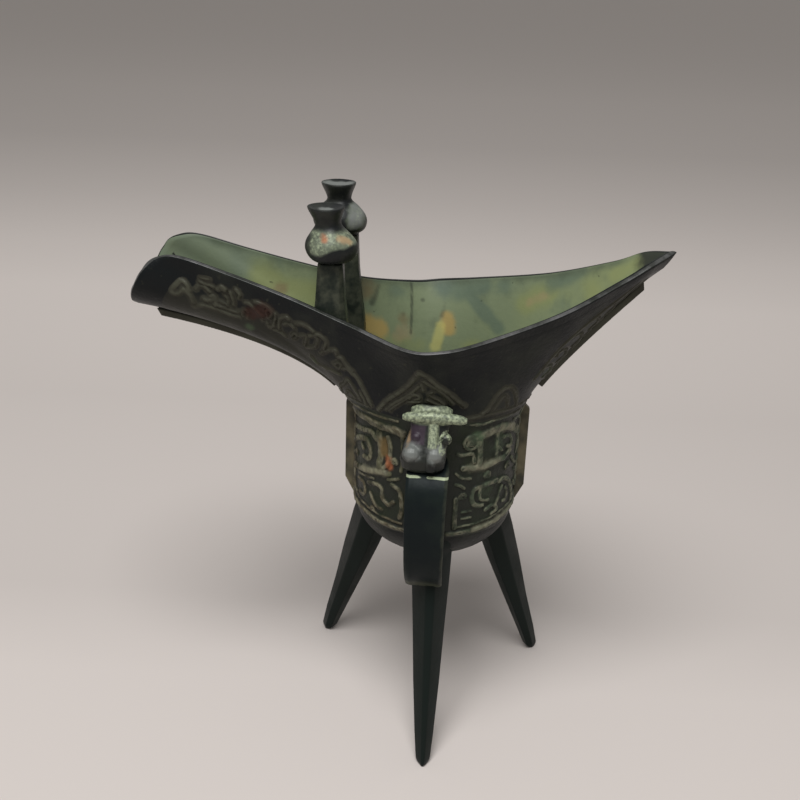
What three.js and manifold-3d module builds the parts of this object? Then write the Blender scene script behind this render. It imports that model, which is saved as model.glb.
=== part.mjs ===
// Bronze wine cup of the jue type: a round-bottomed beaker on three splayed blade legs, with a
// channel spout, a pointed tail, two capped posts inside the rim, low flanges and keels, and a
// strap handle that hangs from the mouth of a small ox head.
// Millimetres, +Z up. The tail points to +X, the spout to -X and the handle to -Y.

import * as THREE from 'three';
import { mergeVertices } from 'three/addons/utils/BufferGeometryUtils.js';
import Module from 'manifold-3d';

const wasm = await Module();
wasm.setup();

// Beaker
const BELLY_RADIUS = 29.3;
const BELLY_LIFT = 65; // table to the lowest point of the belly
const BOTTOM_DEPTH = 20; // height of the rounded bottom
const BELLY_HEIGHT = 35; // straight wall between the bottom and the neck
const WALL = 2.2;
const LIP_CROWN = 0.5; // the lip rises by this much in its middle
const SEAM = 0.3; // clearance between a piece and the piece that carries it

// Where the neck turns outward: reach from the axis and height above the neck ring
const SPOUT_TURN_REACH = 43;
const SPOUT_TURN_HEIGHT = 24.3;
const SIDE_TURN_REACH = 31;
const SIDE_TURN_HEIGHT = 20;
const TAIL_TURN_REACH = 32;
const TAIL_TURN_HEIGHT = 13.5;

// One half of the rim, from the middle of the spout's end to the tip of the tail. Each station
// has the angle round the neck ring where its rib starts, x, half width and height above the neck.
const RIM = [
  [0, -107.8, 0, 34.6],
  [10, -106.8, 10.9, 39.6],
  [17, -104.4, 16.2, 45.6],
  [23, -100.9, 16.8, 51.4],
  [28, -95.7, 15.6, 55.8],
  [33, -88.2, 16.3, 56.3],
  [41, -70, 18, 51.1],
  [51, -50, 21.9, 45.1],
  [64, -30, 28.7, 39],
  [79, -12, 39.1, 35.3],
  [90, 0, 41.3, 35.8],
  [103, 14, 36.8, 38.2],
  [128, 40, 24.3, 44.9],
  [152, 60, 13.1, 53.1],
  [166, 70.4, 8, 58.4],
  [180, 78.6, 0, 61],
];

// Keels under the spout and the tail: where each starts and ends along its rib, from 0 to 1
const KEEL_DEPTH = 2.6;
const KEEL_THICKNESS = 2.4;
const SPOUT_KEEL_START = 0.18;
const SPOUT_KEEL_END = 0.93;
const TAIL_KEEL_START = 0.3;
const TAIL_KEEL_END = 0.87;
const KEEL_SLANT = 0.03; // how much further its root goes than its edge at the outer end

// Upright flanges on the belly
const FLANGE_PROUD = 4; // past the belly
const FLANGE_THICKNESS = 2.6;
const FLANGE_TOP_RISE = 4; // its upper corner, above the neck ring
const FLANGE_CHAMFER = 3;
const FLANGE_LENGTH = 39.5;
const FLANGE_FOOT = 6; // length of the sloped lower end

// Blade legs: height as a share of the lift, reach of the middle past the belly, width and depth
const LEG_STATIONS = [
  [0, 21.7, 4.8, 5.2],
  [0.17, 17.9, 6.8, 7],
  [0.43, 11.7, 9.2, 9.2],
  [0.74, 4.7, 11.4, 12.6],
  [0.985, -0.7, 13.4, 14],
  [1.29, -8.8, 15.4, 17],
];

// Each leg: degrees about the axis, how far it stands outward of the stations, and its width
const LEGS = {
  leg_front: { turn: -89.6, outward: -0.3, widen: 1.05 },
  leg_rear_left: { turn: 143.5, outward: 2.3, widen: 1.1 },
  leg_rear_right: { turn: 29.5, outward: 0.5, widen: 1 },
};

// Handle: a strap from the mouth of the ox head down to the front leg
const HANDLE_TURN = -93.8; // degrees about the axis of the cup
const STRAP_THICKNESS = 3;
const STRAP_ROOT_WIDTH = 11.4; // where it leaves the wall, behind the muzzle
const STRAP_TOP_WIDTH = 14.6;
const STRAP_FOOT_WIDTH = 12.8;
const STRAP_TOP_DROP = 7.6; // upper end, below the neck ring
const STRAP_FOOT_RISE = 0.5; // lower end, above the lowest point of the belly

// The strap's line: reach past the belly, and share of the way from its lower end to its upper
const STRAP_PATH = [
  [-2.3, 1],
  [5.7, 0.996],
  [11.3, 0.936],
  [14.6, 0.8],
  [15.3, 0.565],
  [13.7, 0.33],
  [10.1, 0.149],
  [3.7, 0],
];

// Ox head: height above the neck ring, reach of its front past the belly, half width, and its
// share of the muzzle's lean
const HEAD_STATIONS = [
  [-8, 9.9, 5.8, 0.9],
  [-6, 11.7, 7.2, 1],
  [-2.5, 12.5, 7.7, 1],
  [1, 11.1, 6.8, 0.68],
  [5, 8.9, 6.2, 0.26],
  [9, 7.1, 6.8, 0],
  [12.5, 5.5, 7, 0],
  [14.4, 3.7, 5, 0],
];
const HEAD_ROOT = 3.3; // how far its back sinks into the wall before it is cut to it
const HEAD_ROUND = 5; // radius of the front's corners
const MUZZLE_LEAN = 1.9; // the cast muzzle sits this far to the spout's side
const BROW_SHIFT = 1.3; // horns and nose ridge sit this far to the tail's side

// Horns: one straight bar across the brow, tapered to its ends
const HORN_RADIUS = 2.2;
const HORN_TIP_RADIUS = 1.5;
const HORN_SPREAD = 10.8;
const HORN_REACH = 6.3; // past the belly
const HORN_HEIGHT = 11.2;
const HORN_DROOP = 0.7;
const EYE_RADIUS = 2.1;
const EYE_REACH = 7.5; // past the belly
const EYE_SPREAD = 4.8;
const EYE_SHIFT = 0.5; // to the tail's side
const EYE_HEIGHT = 4.2;
const NOSTRIL_RADIUS = 3.2;
const NOSTRIL_REACH = 10.1; // past the belly
const NOSTRIL_SPREAD = 3.8;
const NOSTRIL_HEIGHT = -0.8;
const NOSE_RIDGE_WIDTH = 3;
const NOSE_RIDGE_PROUD = 1.1;
const NOSE_RIDGE_ROOT = 3; // how far it sinks into the head
const NOSE_RIDGE_BEVEL = 0.6;

// Posts inside the rim, one at the handle's side and one opposite: x at its foot and its top, y,
// width as a factor, and how much taller it is than the stations. Then its cap: x, radius of the
// drum and of the disc, and how far the disc sits off the drum's middle.
const POSTS = {
  front: { footX: -37.6, topX: -37.6, y: -17.1, widen: 1, rise: 0 },
  rear: { footX: -38.2, topX: -36.6, y: 17.1, widen: 1.3, rise: 0.7 },
};
const CAPS = {
  front: { x: -37.3, drumRadius: 8.7, discRadius: 6, discShift: -2 },
  rear: { x: -37.7, drumRadius: 9.5, discRadius: 6, discShift: -0.7 },
};

// Height above the neck ring, then half width along X and along Y
const POST_STATIONS = [
  [8, 8.4, 6],
  [26, 7.2, 5.5],
  [35, 6, 5],
  [45, 5, 4.6],
  [57.7, 4.2, 4.2],
];

// Post cap: a drum swells, draws in to a waist and opens to a dished disc
const CAP_SEAT_RADIUS = 4.6;
const CAP_WAIST_RADIUS = 4.5;
const CAP_HEIGHT = 18;
const CAP_DRUM_HEIGHT = 10; // top of the drum
const CAP_DISH = 1.1; // depth of the disc's hollow

const SKY_RISE = 120; // top of the cutting shapes above the neck ring, over everything else

// Main cast ridges of the animal masks, one body with the cup: width, height and line. A point of
// a line is degrees round the neck ring, from the spout, and millimetres above the neck ring.
const SPOUT_SIDE_MASK = [
  [2.8, 0.9, [[12, 0.6], [24, 1.8], [36, 2.4], [47, 1.8], [59, 1.9], [67, 1]]],
  [1.6, 0.8, [[10, -6], [20, -4.8], [28, -4], [37, -2.8], [45.4, -4.4]]],
  [1.7, 0.9, [[8, -12.8], [20.2, -9], [28, -7.4], [34.2, -6.8], [38.3, -8.8]]],
  [2.2, 0.9, [[48, -1.5], [49.5, -6], [49.8, -10.5], [48, -14.2]]],
  [1.8, 0.9, [[13, -21.4], [25.8, -19.8], [40, -17.8], [57.4, -15.8]]],
  [1.3, 0.8, [[60, -19.6], [65.5, -21], [67.8, -28.7], [66.5, -31.8]]],
  [1.4, 0.8, [[4, -33.6], [16.7, -34.8], [36.8, -35.2], [57.6, -36.2], [70, -36.4]]],
  [1.2, 0.8, [[6, 3], [6, 0], [6, -28]]],
];
const TAIL_SIDE_MASK = [
  [2.6, 0.9, [[113, 0.2], [122, 1], [133, 2], [143, 1.6], [154, -0.6], [163, -3.5]]],
  [1.8, 0.9, [[109, -10.8], [125, -11.4], [136, -10.6], [145, -10.6], [150.5, -9]]],
  [1.9, 0.8, [[120, -0.2], [120.8, -10.4]]],
  [1.4, 0.9, [[137.6, -18.5], [122.8, -19], [116.8, -21.6], [118, -25.3], [125, -26.5]]],
  [1.4, 0.9, [[139.5, -19.4], [152, -21.2], [156.7, -24.6], [160, -28.4], [159, -30.8]]],
  [1.3, 0.8, [[105, -22.5], [104.8, -34]]],
  [1.4, 0.8, [[100, -36.4], [125.3, -35.6], [150, -34.4], [176, -33.4]]],
  [1.2, 0.8, [[173.5, 3], [173.5, 0], [173.5, -28]]],
];
const RIDGE_SINK = 1; // how far a ridge's sides go down into the wall
const RIDGE_FLARE = 1.15; // width down there as a share of the ridge's width
const RIDGE_TOP = 0.62; // width of its top as a share of the width down there

// Facets
const RIM_STEPS = 3; // columns between two rim stations
const BOTTOM_ROWS = 5;
const NECK_ROWS = 8;
const CAP_SIDES = 20;
const RIDGE_STEPS = 2; // spans between two points of a ridge's line

const SHOULDER_Z = BELLY_LIFT + BOTTOM_DEPTH;
const NECK_Z = SHOULDER_Z + BELLY_HEIGHT;
const SKY_Z = NECK_Z + SKY_RISE;

const BRONZE = 0x2b2c26;
const BRONZE_BAND = 0x4a4326;
const BRONZE_PALE = 0x9aa283;

function vec(x, y, z) {
  return new THREE.Vector3(x, y, z);
}

// A smooth open curve through points, one equal step of its parameter for each span
function smoothCurve(points) {
  return new THREE.CatmullRomCurve3(points, false, 'catmullrom', 0.5);
}

function bezier(start, bend, end, t) {
  return new THREE.QuadraticBezierCurve3(start, bend, end).getPoint(t);
}

// Faces of a closed geometry turned outward, judged by the sign of its volume
function faceOutward(positions, triangles) {
  let volume = 0;
  for (const [a, b, c] of triangles) {
    volume += positions[a].dot(positions[b].clone().cross(positions[c]));
  }
  if (volume > 0) {
    return triangles;
  }
  return triangles.map(([a, b, c]) => [a, c, b]);
}

// A closed surface over rings of equal length, ended by a fan to a point at each side
function loft(rings, firstPoint, lastPoint) {
  const count = rings[0].length;
  const positions = [firstPoint, ...rings.flat(), lastPoint];
  const last = positions.length - 1;
  const top = last - count;
  const triangles = [];
  for (let i = 0; i < count; i += 1) {
    const next = (i + 1) % count;
    triangles.push([0, 1 + next, 1 + i]);
    triangles.push([last, top + i, top + next]);
    for (let ring = 0; ring < rings.length - 1; ring += 1) {
      const low = 1 + ring * count;
      const high = low + count;
      triangles.push([low + i, low + next, high + next]);
      triangles.push([low + i, high + next, high + i]);
    }
  }
  const geometry = new THREE.BufferGeometry();
  geometry.setFromPoints(positions);
  geometry.setIndex(faceOutward(positions, triangles).flat());
  return geometry;
}

function middle(ring) {
  const sum = vec(0, 0, 0);
  for (const point of ring) {
    sum.add(point);
  }
  return sum.divideScalar(ring.length);
}

function loftFlat(rings) {
  return loft(rings, middle(rings[0]), middle(rings[rings.length - 1]));
}

function toSolid(geometry) {
  const bare = geometry.clone();
  bare.deleteAttribute('normal');
  bare.deleteAttribute('uv');
  const merged = mergeVertices(bare, 0.0001);
  const index = merged.index.array;
  const kept = [];
  for (let i = 0; i < index.length; i += 3) {
    const [a, b, c] = [index[i], index[i + 1], index[i + 2]];
    if (a !== b && b !== c && c !== a) {
      kept.push(a, b, c);
    }
  }
  const vertProperties = new Float32Array(merged.attributes.position.array);
  const triVerts = new Uint32Array(kept);
  return new wasm.Manifold(new wasm.Mesh({ numProp: 3, vertProperties, triVerts }));
}

function toGeometry(solid) {
  const mesh = solid.getMesh();
  const geometry = new THREE.BufferGeometry();
  geometry.setAttribute('position', new THREE.BufferAttribute(mesh.vertProperties, 3));
  geometry.setIndex(new THREE.BufferAttribute(mesh.triVerts, 1));
  return geometry;
}

const rimCurve = smoothCurve(RIM.map(([, x, half, height]) => vec(x, half, NECK_Z + height)));
const ringAngles = smoothCurve(RIM.map(([angle]) => vec(angle, 0, 0)));

// Direction along the rim, spout to tail; square across the cup at its two middle ribs
function rimDirection(u) {
  if (u === 0) {
    return vec(0, 1, 0);
  }
  if (u === 1) {
    return vec(0, -1, 0);
  }
  const step = 0.002;
  return rimCurve.getPoint(u + step).sub(rimCurve.getPoint(u - step)).normalize();
}

// Outward bend of the rib that starts at an angle round the neck ring
function ribBend(angle, outward) {
  const toSpout = angle < Math.PI / 2;
  const reach = toSpout ? SPOUT_TURN_REACH : TAIL_TURN_REACH;
  const height = toSpout ? SPOUT_TURN_HEIGHT : TAIL_TURN_HEIGHT;
  const share = Math.cos(angle) ** 2;
  const rise = SIDE_TURN_HEIGHT + (height - SIDE_TURN_HEIGHT) * share;
  return vec(outward.x * reach, outward.y * SIDE_TURN_REACH, NECK_Z + rise);
}

// The three guide points of a rib of the neck, moved inward by inset, square to the wall
function rib(u, inset) {
  const angle = THREE.MathUtils.degToRad(ringAngles.getPoint(u).x);
  const ringOut = vec(-Math.cos(angle), Math.sin(angle), 0);
  const start = ringOut.clone().multiplyScalar(BELLY_RADIUS - inset).setZ(NECK_Z);
  const bend = ribBend(angle, ringOut);
  const end = rimCurve.getPoint(u);
  const climb = end.clone().sub(bend).normalize();
  const rimOut = climb.clone().cross(rimDirection(u)).normalize();
  const corner = ringOut.clone().add(rimOut).multiplyScalar(inset / (1 + ringOut.dot(rimOut)));
  const moved = end.clone().addScaledVector(rimOut, -inset);
  const level = THREE.MathUtils.clamp((climb.z - 0.3) / 0.18, 0, 1);
  moved.addScaledVector(climb, (level * (end.z - moved.z)) / climb.z);
  return [start, bend.sub(corner), moved];
}

// One upright line of the cup's wall, from the rounded bottom to the rim
function wallColumn(u, side, inset) {
  const [start, bend, end] = rib(u, inset);
  const points = [];
  for (let row = 1; row <= BOTTOM_ROWS; row += 1) {
    const turn = (Math.PI / 2) * (row / BOTTOM_ROWS);
    const point = start.clone().multiplyScalar(Math.sin(turn));
    points.push(point.setZ(SHOULDER_Z - (BOTTOM_DEPTH - inset) * Math.cos(turn)));
  }
  for (let row = 0; row <= NECK_ROWS; row += 1) {
    points.push(bezier(start, bend, end, row / NECK_ROWS));
  }
  return points.map((point) => vec(point.x, point.y * side, point.z));
}

// Rings of the cup's wall from the bottom to the rim
function wallRings(inset) {
  const half = (RIM.length - 1) * RIM_STEPS;
  const columns = [];
  for (let i = 0; i <= half; i += 1) {
    columns.push(wallColumn(i / half, -1, inset));
  }
  for (let i = half - 1; i > 0; i -= 1) {
    columns.push(wallColumn(i / half, 1, inset));
  }
  return columns[0].map((_, row) => columns.map((column) => column[row]));
}

function bottomPoint(inset) {
  return vec(0, 0, BELLY_LIFT + inset);
}

// Where a rising function of 0 to 1 reaches a value
function solve(rising, target) {
  let low = 0;
  let high = 1;
  for (let i = 0; i < 24; i += 1) {
    const half = (low + high) / 2;
    if (rising(half) < target) {
      low = half;
    } else {
      high = half;
    }
  }
  return (low + high) / 2;
}

// The point of the outside at an angle round the neck ring and a height above it
function outsideAt(angle, height, side) {
  const u = solve((share) => ringAngles.getPoint(share).x, angle);
  const [start, bend, end] = rib(u, 0);
  let point = start;
  if (height > 0) {
    const t = solve((share) => bezier(start, bend, end, share).z, NECK_Z + height);
    point = bezier(start, bend, end, t);
  } else if (height < -BELLY_HEIGHT) {
    const share = (height + BELLY_HEIGHT) / BOTTOM_DEPTH;
    point = start.clone().multiplyScalar(Math.sqrt(1 - share ** 2));
  }
  return vec(point.x, point.y * side, NECK_Z + height);
}

// Ring of a ridge's section: its foot is sunk in the wall and its top is narrower
function ridgeSection(path, t, width, rise, side) {
  const step = 0.01;
  const at = (share) => {
    const place = path.getPoint(THREE.MathUtils.clamp(share, 0, 1));
    return outsideAt(place.x, place.y, side);
  };
  const here = path.getPoint(t);
  const along = at(t + step).sub(at(t - step));
  const round = outsideAt(here.x + 1, here.y, side).sub(outsideAt(here.x - 1, here.y, side));
  const up = outsideAt(here.x, here.y + 1, side).sub(outsideAt(here.x, here.y - 1, side));
  const out = up.cross(round).multiplyScalar(side).normalize();
  const across = along.cross(out).normalize();
  const outline = [
    [-0.5 * width, -RIDGE_SINK],
    [-0.5 * width * RIDGE_TOP, rise],
    [0.5 * width * RIDGE_TOP, rise],
    [0.5 * width, -RIDGE_SINK],
  ];
  const centre = outsideAt(here.x, here.y, side);
  return outline.map(([aside, proud]) =>
    centre.clone().addScaledVector(across, aside).addScaledVector(out, proud),
  );
}

function ridge([width, rise, line], side, mirrored, grow) {
  const points = line.map(([angle, height]) => vec(mirrored ? 180 - angle : angle, height, 0));
  const path = smoothCurve(points);
  const steps = (line.length - 1) * RIDGE_STEPS;
  const rings = [];
  for (let i = 0; i <= steps; i += 1) {
    rings.push(ridgeSection(path, i / steps, width * RIDGE_FLARE + 2 * grow, rise + grow, side));
  }
  return toSolid(loftFlat(rings));
}

// Every ridge: two different masks on the handle's side, and one of them repeated at the rear
function ridges(grow) {
  let all = null;
  const join = (lines, side, mirrored) => {
    for (const line of lines) {
      const one = ridge(line, side, mirrored, grow);
      all = all ? all.add(one) : one;
    }
  };
  join(SPOUT_SIDE_MASK, -1, false);
  join(TAIL_SIDE_MASK, -1, false);
  join(TAIL_SIDE_MASK, 1, false);
  join(TAIL_SIDE_MASK, 1, true);
  return all;
}

// The thin wall: outside up to the rim, over a slightly crowned lip, and down the inside
function cupBody() {
  const outside = wallRings(0);
  const inside = wallRings(WALL);
  const outerRim = outside[outside.length - 1];
  const innerRim = inside[inside.length - 1];
  const below = outside[outside.length - 2];
  const crown = outerRim.map((point, i) => {
    const rise = point.clone().sub(below[i]).normalize().multiplyScalar(LIP_CROWN);
    return point.clone().lerp(innerRim[i], 0.5).add(rise);
  });
  const wall = loft([...outside, crown, ...inside.reverse()], bottomPoint(0), bottomPoint(WALL));
  return toGeometry(toSolid(wall).add(ridges(0)));
}

// The cup with its hollow filled and domed over, used to seat pieces on the outside
function filledCup(inset) {
  return toSolid(loft(wallRings(inset), bottomPoint(inset), vec(0, 0, SKY_Z)));
}

// The hollow of the cup, carried straight up past the rim, used to seat the posts
function hollow(inset) {
  const rings = wallRings(inset);
  const sky = rings[rings.length - 1].map((point) => point.clone().setZ(SKY_Z));
  return toSolid(loft([...rings, sky], bottomPoint(inset), vec(0, 0, SKY_Z)));
}

const seatOutside = filledCup(-SEAM).add(ridges(SEAM));
const seatInside = hollow(WALL + SEAM);

// An upright plate: an outline of radius and height, as thick as given, turned about the axis
function plate(outline, thickness, turn) {
  const shape = new THREE.Shape(outline.map(([reach, height]) => new THREE.Vector2(reach, height)));
  const geometry = new THREE.ExtrudeGeometry(shape, { depth: thickness, bevelEnabled: false });
  geometry.translate(0, 0, -thickness / 2);
  geometry.rotateX(Math.PI / 2);
  geometry.rotateZ(THREE.MathUtils.degToRad(turn));
  return toSolid(geometry);
}

// A keel follows the middle rib of the spout or the tail
function keel(u, from, to, turn) {
  const steps = 14;
  const edge = [];
  const root = [];
  const curve = new THREE.QuadraticBezierCurve3(...rib(u, 0));
  const offset = (t, outward) => {
    const point = curve.getPoint(t);
    const tangent = curve.getTangent(t);
    return [Math.abs(point.x) + tangent.z * outward, point.z - Math.abs(tangent.x) * outward];
  };
  for (let i = 0; i <= steps; i += 1) {
    const share = i / steps;
    edge.push(offset(THREE.MathUtils.lerp(from, to, share), KEEL_DEPTH));
    root.unshift(offset(THREE.MathUtils.lerp(from, to + KEEL_SLANT, share), -WALL));
  }
  return toGeometry(plate([...edge, ...root], KEEL_THICKNESS, turn).subtract(seatOutside));
}

function bellyFlange(turn) {
  const top = NECK_Z + FLANGE_TOP_RISE;
  const low = top - FLANGE_LENGTH;
  const root = BELLY_RADIUS - WALL;
  const reach = BELLY_RADIUS + FLANGE_PROUD;
  const face = Math.max(reach - FLANGE_CHAMFER, BELLY_RADIUS);
  const outline = [
    [root, low],
    [face, low],
    [reach, low + FLANGE_FOOT],
    [reach, top - FLANGE_CHAMFER],
    [face, top],
    [root, top],
  ];
  return toGeometry(plate(outline, FLANGE_THICKNESS, turn).subtract(seatOutside));
}

// Section of a blade leg: a ridge outward, two flanks, and a narrower flat at the back
function legSection(centre, width, depth, z) {
  const outline = [
    [0.5, -0.1],
    [0.5, 0.1],
    [-0.08, 0.5],
    [-0.5, 0.34],
    [-0.5, -0.34],
    [-0.08, -0.5],
  ];
  return outline.map(([x, y]) => vec(centre + x * depth, y * width, z));
}

function legSolid({ turn, outward, widen }, grow) {
  const rings = LEG_STATIONS.map(([share, past, width, depth]) =>
    legSection(
      BELLY_RADIUS + past + outward,
      width * widen + 2 * grow,
      depth * widen + 2 * grow,
      share * BELLY_LIFT,
    ),
  );
  const geometry = loftFlat(rings);
  geometry.rotateZ(THREE.MathUtils.degToRad(turn));
  return toSolid(geometry);
}

function leg(form) {
  return toGeometry(legSolid(form, 0).subtract(seatOutside));
}

// Ring of a strap section: crowned outside, flat inside
function strapSection(point, tangent, width, thickness) {
  const out = vec(-tangent.z, 0, tangent.x);
  const outline = [
    [-0.5, 0.22],
    [-0.26, 0.44],
    [0, 0.5],
    [0.26, 0.44],
    [0.5, 0.22],
    [0.5, -0.32],
    [0.4, -0.5],
    [-0.4, -0.5],
    [-0.5, -0.32],
  ];
  return outline.map(([across, through]) => {
    const place = point.clone().addScaledVector(out, through * thickness);
    return place.setY(across * width);
  });
}

function strapSolid(grow) {
  const foot = BELLY_LIFT + STRAP_FOOT_RISE;
  const climb = NECK_Z - STRAP_TOP_DROP - foot;
  const path = smoothCurve(
    STRAP_PATH.map(([past, share]) => vec(BELLY_RADIUS + past, 0, foot + share * climb)),
  );
  const steps = 28;
  const rings = [];
  for (let i = 0; i <= steps; i += 1) {
    const t = i / steps;
    const widened = THREE.MathUtils.smoothstep(t, 0, 0.2);
    const top = THREE.MathUtils.lerp(STRAP_ROOT_WIDTH, STRAP_TOP_WIDTH, widened);
    const width = THREE.MathUtils.lerp(top, STRAP_FOOT_WIDTH, t) + 2 * grow;
    rings.push(strapSection(path.getPoint(t), path.getTangent(t), width, STRAP_THICKNESS + 2 * grow));
  }
  const geometry = loftFlat(rings);
  geometry.rotateZ(THREE.MathUtils.degToRad(HANDLE_TURN));
  return toSolid(geometry);
}

function strap() {
  const frontLeg = legSolid(LEGS.leg_front, SEAM);
  return toGeometry(strapSolid(0).subtract(seatOutside).subtract(frontLeg));
}

// Level section of the ox head: flat at the back, rounded at the front
function headSection(front, half, lean, z) {
  const back = BELLY_RADIUS - HEAD_ROOT;
  const outline = [[back, -half]];
  const steps = 8;
  const round = Math.min(half, HEAD_ROUND);
  for (let i = 0; i <= steps; i += 1) {
    const turn = (Math.PI * i) / steps - Math.PI / 2;
    const y = (half - round) * Math.sign(turn) + round * Math.sin(turn);
    outline.push([front - round * 0.6 + round * 0.6 * Math.cos(turn), y]);
  }
  outline.push([back, half]);
  return outline.map(([x, y]) => vec(x, y - lean, z));
}

function ball(radius, x, y, z) {
  const geometry = new THREE.SphereGeometry(radius, 12, 8);
  geometry.translate(x, y, z);
  return toSolid(geometry);
}

// The horns: a round bar across the brow, thinner and a little lower at its ends
function horns() {
  const sides = 10;
  const half = 6;
  const rings = [];
  for (let i = -half; i <= half; i += 1) {
    const share = Math.abs(i) / half;
    const end = i === -half || i === half;
    const radius = THREE.MathUtils.lerp(HORN_RADIUS, HORN_TIP_RADIUS, share) * (end ? 0.6 : 1);
    const y = (HORN_SPREAD * i) / half + BROW_SHIFT;
    const x = BELLY_RADIUS + HORN_REACH - HORN_DROOP * share ** 2;
    const z = NECK_Z + HORN_HEIGHT - HORN_DROOP * share ** 2;
    const ring = [];
    for (let k = 0; k < sides; k += 1) {
      const turn = (2 * Math.PI * k) / sides;
      ring.push(vec(x + radius * Math.cos(turn), y, z + radius * Math.sin(turn)));
    }
    rings.push(ring);
  }
  return toSolid(loftFlat(rings));
}

// Raised ridge from the brow to the muzzle, following the front of the head
function noseRidge() {
  const half = NOSE_RIDGE_WIDTH / 2;
  const rings = HEAD_STATIONS.slice(1, 7).map(([height, past, , lean]) => {
    const root = BELLY_RADIUS + past - NOSE_RIDGE_ROOT;
    const face = BELLY_RADIUS + past + NOSE_RIDGE_PROUD;
    const outline = [
      [root, -half],
      [face - NOSE_RIDGE_BEVEL, -half],
      [face, -half * 0.5],
      [face, half * 0.5],
      [face - NOSE_RIDGE_BEVEL, half],
      [root, half],
    ];
    return outline.map(([x, y]) => vec(x, y + BROW_SHIFT - (lean * MUZZLE_LEAN) / 5, NECK_Z + height));
  });
  return toSolid(loftFlat(rings));
}

function oxHead() {
  const skull = loftFlat(
    HEAD_STATIONS.map(([height, past, half, lean]) =>
      headSection(BELLY_RADIUS + past, half, lean * MUZZLE_LEAN, NECK_Z + height),
    ),
  );
  let head = toSolid(skull).add(noseRidge()).add(horns());
  for (const side of [-1, 1]) {
    const eyeX = BELLY_RADIUS + EYE_REACH;
    const eyeY = side * EYE_SPREAD + EYE_SHIFT;
    const eye = ball(EYE_RADIUS, eyeX, eyeY, NECK_Z + EYE_HEIGHT);
    const nostrilX = BELLY_RADIUS + NOSTRIL_REACH;
    const nostrilY = side * NOSTRIL_SPREAD - MUZZLE_LEAN;
    const nostril = ball(NOSTRIL_RADIUS, nostrilX, nostrilY, NECK_Z + NOSTRIL_HEIGHT);
    head = head.add(eye).add(nostril);
  }
  const turned = head.rotate([0, 0, HANDLE_TURN]);
  return toGeometry(turned.subtract(seatOutside).subtract(strapSolid(SEAM)));
}

// Level section of a post: a square with rounded corners
function postSection(halfX, halfY, x, y, z) {
  const ring = [];
  const sides = 16;
  for (let i = 0; i < sides; i += 1) {
    const turn = (2 * Math.PI * (i + 0.5)) / sides;
    const c = Math.cos(turn);
    const s = Math.sin(turn);
    const square = (c ** 6 + s ** 6) ** (-1 / 6);
    ring.push(vec(x + halfX * square * c, y + halfY * square * s, z));
  }
  return ring;
}

function post({ footX, topX, y, widen, rise }) {
  const [low] = POST_STATIONS[0];
  const [high] = POST_STATIONS[POST_STATIONS.length - 1];
  const rings = POST_STATIONS.map(([height, halfX, halfY]) => {
    const x = THREE.MathUtils.mapLinear(height, low, high, footX, topX);
    return postSection(halfX * widen, halfY, x, y, NECK_Z + height + rise);
  });
  return toGeometry(toSolid(loftFlat(rings)).intersect(seatInside));
}

function capProfile(drumRadius, discRadius) {
  const draw = CAP_HEIGHT - CAP_DRUM_HEIGHT;
  return [
    [0, 0],
    [CAP_SEAT_RADIUS, 0],
    [0.86 * drumRadius, 0.13 * CAP_DRUM_HEIGHT],
    [drumRadius, 0.4 * CAP_DRUM_HEIGHT],
    [0.95 * drumRadius, 0.68 * CAP_DRUM_HEIGHT],
    [0.72 * drumRadius, 0.96 * CAP_DRUM_HEIGHT],
    [CAP_WAIST_RADIUS, CAP_DRUM_HEIGHT + 0.22 * draw],
    [CAP_WAIST_RADIUS, CAP_DRUM_HEIGHT + 0.45 * draw],
    [discRadius, CAP_DRUM_HEIGHT + 0.91 * draw],
    [0.93 * discRadius, CAP_HEIGHT],
    [0.68 * discRadius, CAP_HEIGHT - 0.36 * CAP_DISH],
    [0, CAP_HEIGHT - CAP_DISH],
  ];
}

// Above the drum the cap leans over to its disc
function leanCap(geometry, discShift) {
  const position = geometry.attributes.position;
  for (let i = 0; i < position.count; i += 1) {
    const share = THREE.MathUtils.smoothstep(position.getZ(i), CAP_DRUM_HEIGHT / 2, CAP_HEIGHT);
    position.setX(i, position.getX(i) + discShift * share);
  }
}

function postCap({ y, rise }, { x, drumRadius, discRadius, discShift }) {
  const profile = capProfile(drumRadius, discRadius);
  const points = profile.map(([radius, height]) => new THREE.Vector2(radius, height));
  const geometry = new THREE.LatheGeometry(points, CAP_SIDES);
  geometry.rotateX(Math.PI / 2);
  leanCap(geometry, discShift);
  const [postTop] = POST_STATIONS[POST_STATIONS.length - 1];
  geometry.translate(x, y, NECK_Z + postTop + rise + SEAM);
  return geometry;
}

function piece(name, geometry, color, roughness) {
  geometry.computeVertexNormals();
  const material = new THREE.MeshStandardMaterial({ color, roughness, metalness: 0.7 });
  const mesh = new THREE.Mesh(geometry, material);
  mesh.name = name;
  return mesh;
}

const cup = new THREE.Group();
cup.add(piece('cup_body', cupBody(), BRONZE, 0.5));
cup.add(piece('spout_keel', keel(0, SPOUT_KEEL_START, SPOUT_KEEL_END, 180), BRONZE, 0.5));
cup.add(piece('tail_keel', keel(1, TAIL_KEEL_START, TAIL_KEEL_END, 0), BRONZE, 0.5));
cup.add(piece('belly_flange_spout', bellyFlange(180), BRONZE_BAND, 0.6));
cup.add(piece('belly_flange_tail', bellyFlange(0), BRONZE_BAND, 0.6));
cup.add(piece('belly_flange_rear', bellyFlange(90), BRONZE_BAND, 0.6));
for (const [name, form] of Object.entries(LEGS)) {
  cup.add(piece(name, leg(form), BRONZE, 0.4));
}
cup.add(piece('handle_strap', strap(), BRONZE, 0.45));
cup.add(piece('ox_head', oxHead(), BRONZE_PALE, 0.6));
cup.add(piece('post_front', post(POSTS.front), BRONZE, 0.5));
cup.add(piece('post_rear', post(POSTS.rear), BRONZE, 0.5));
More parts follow.
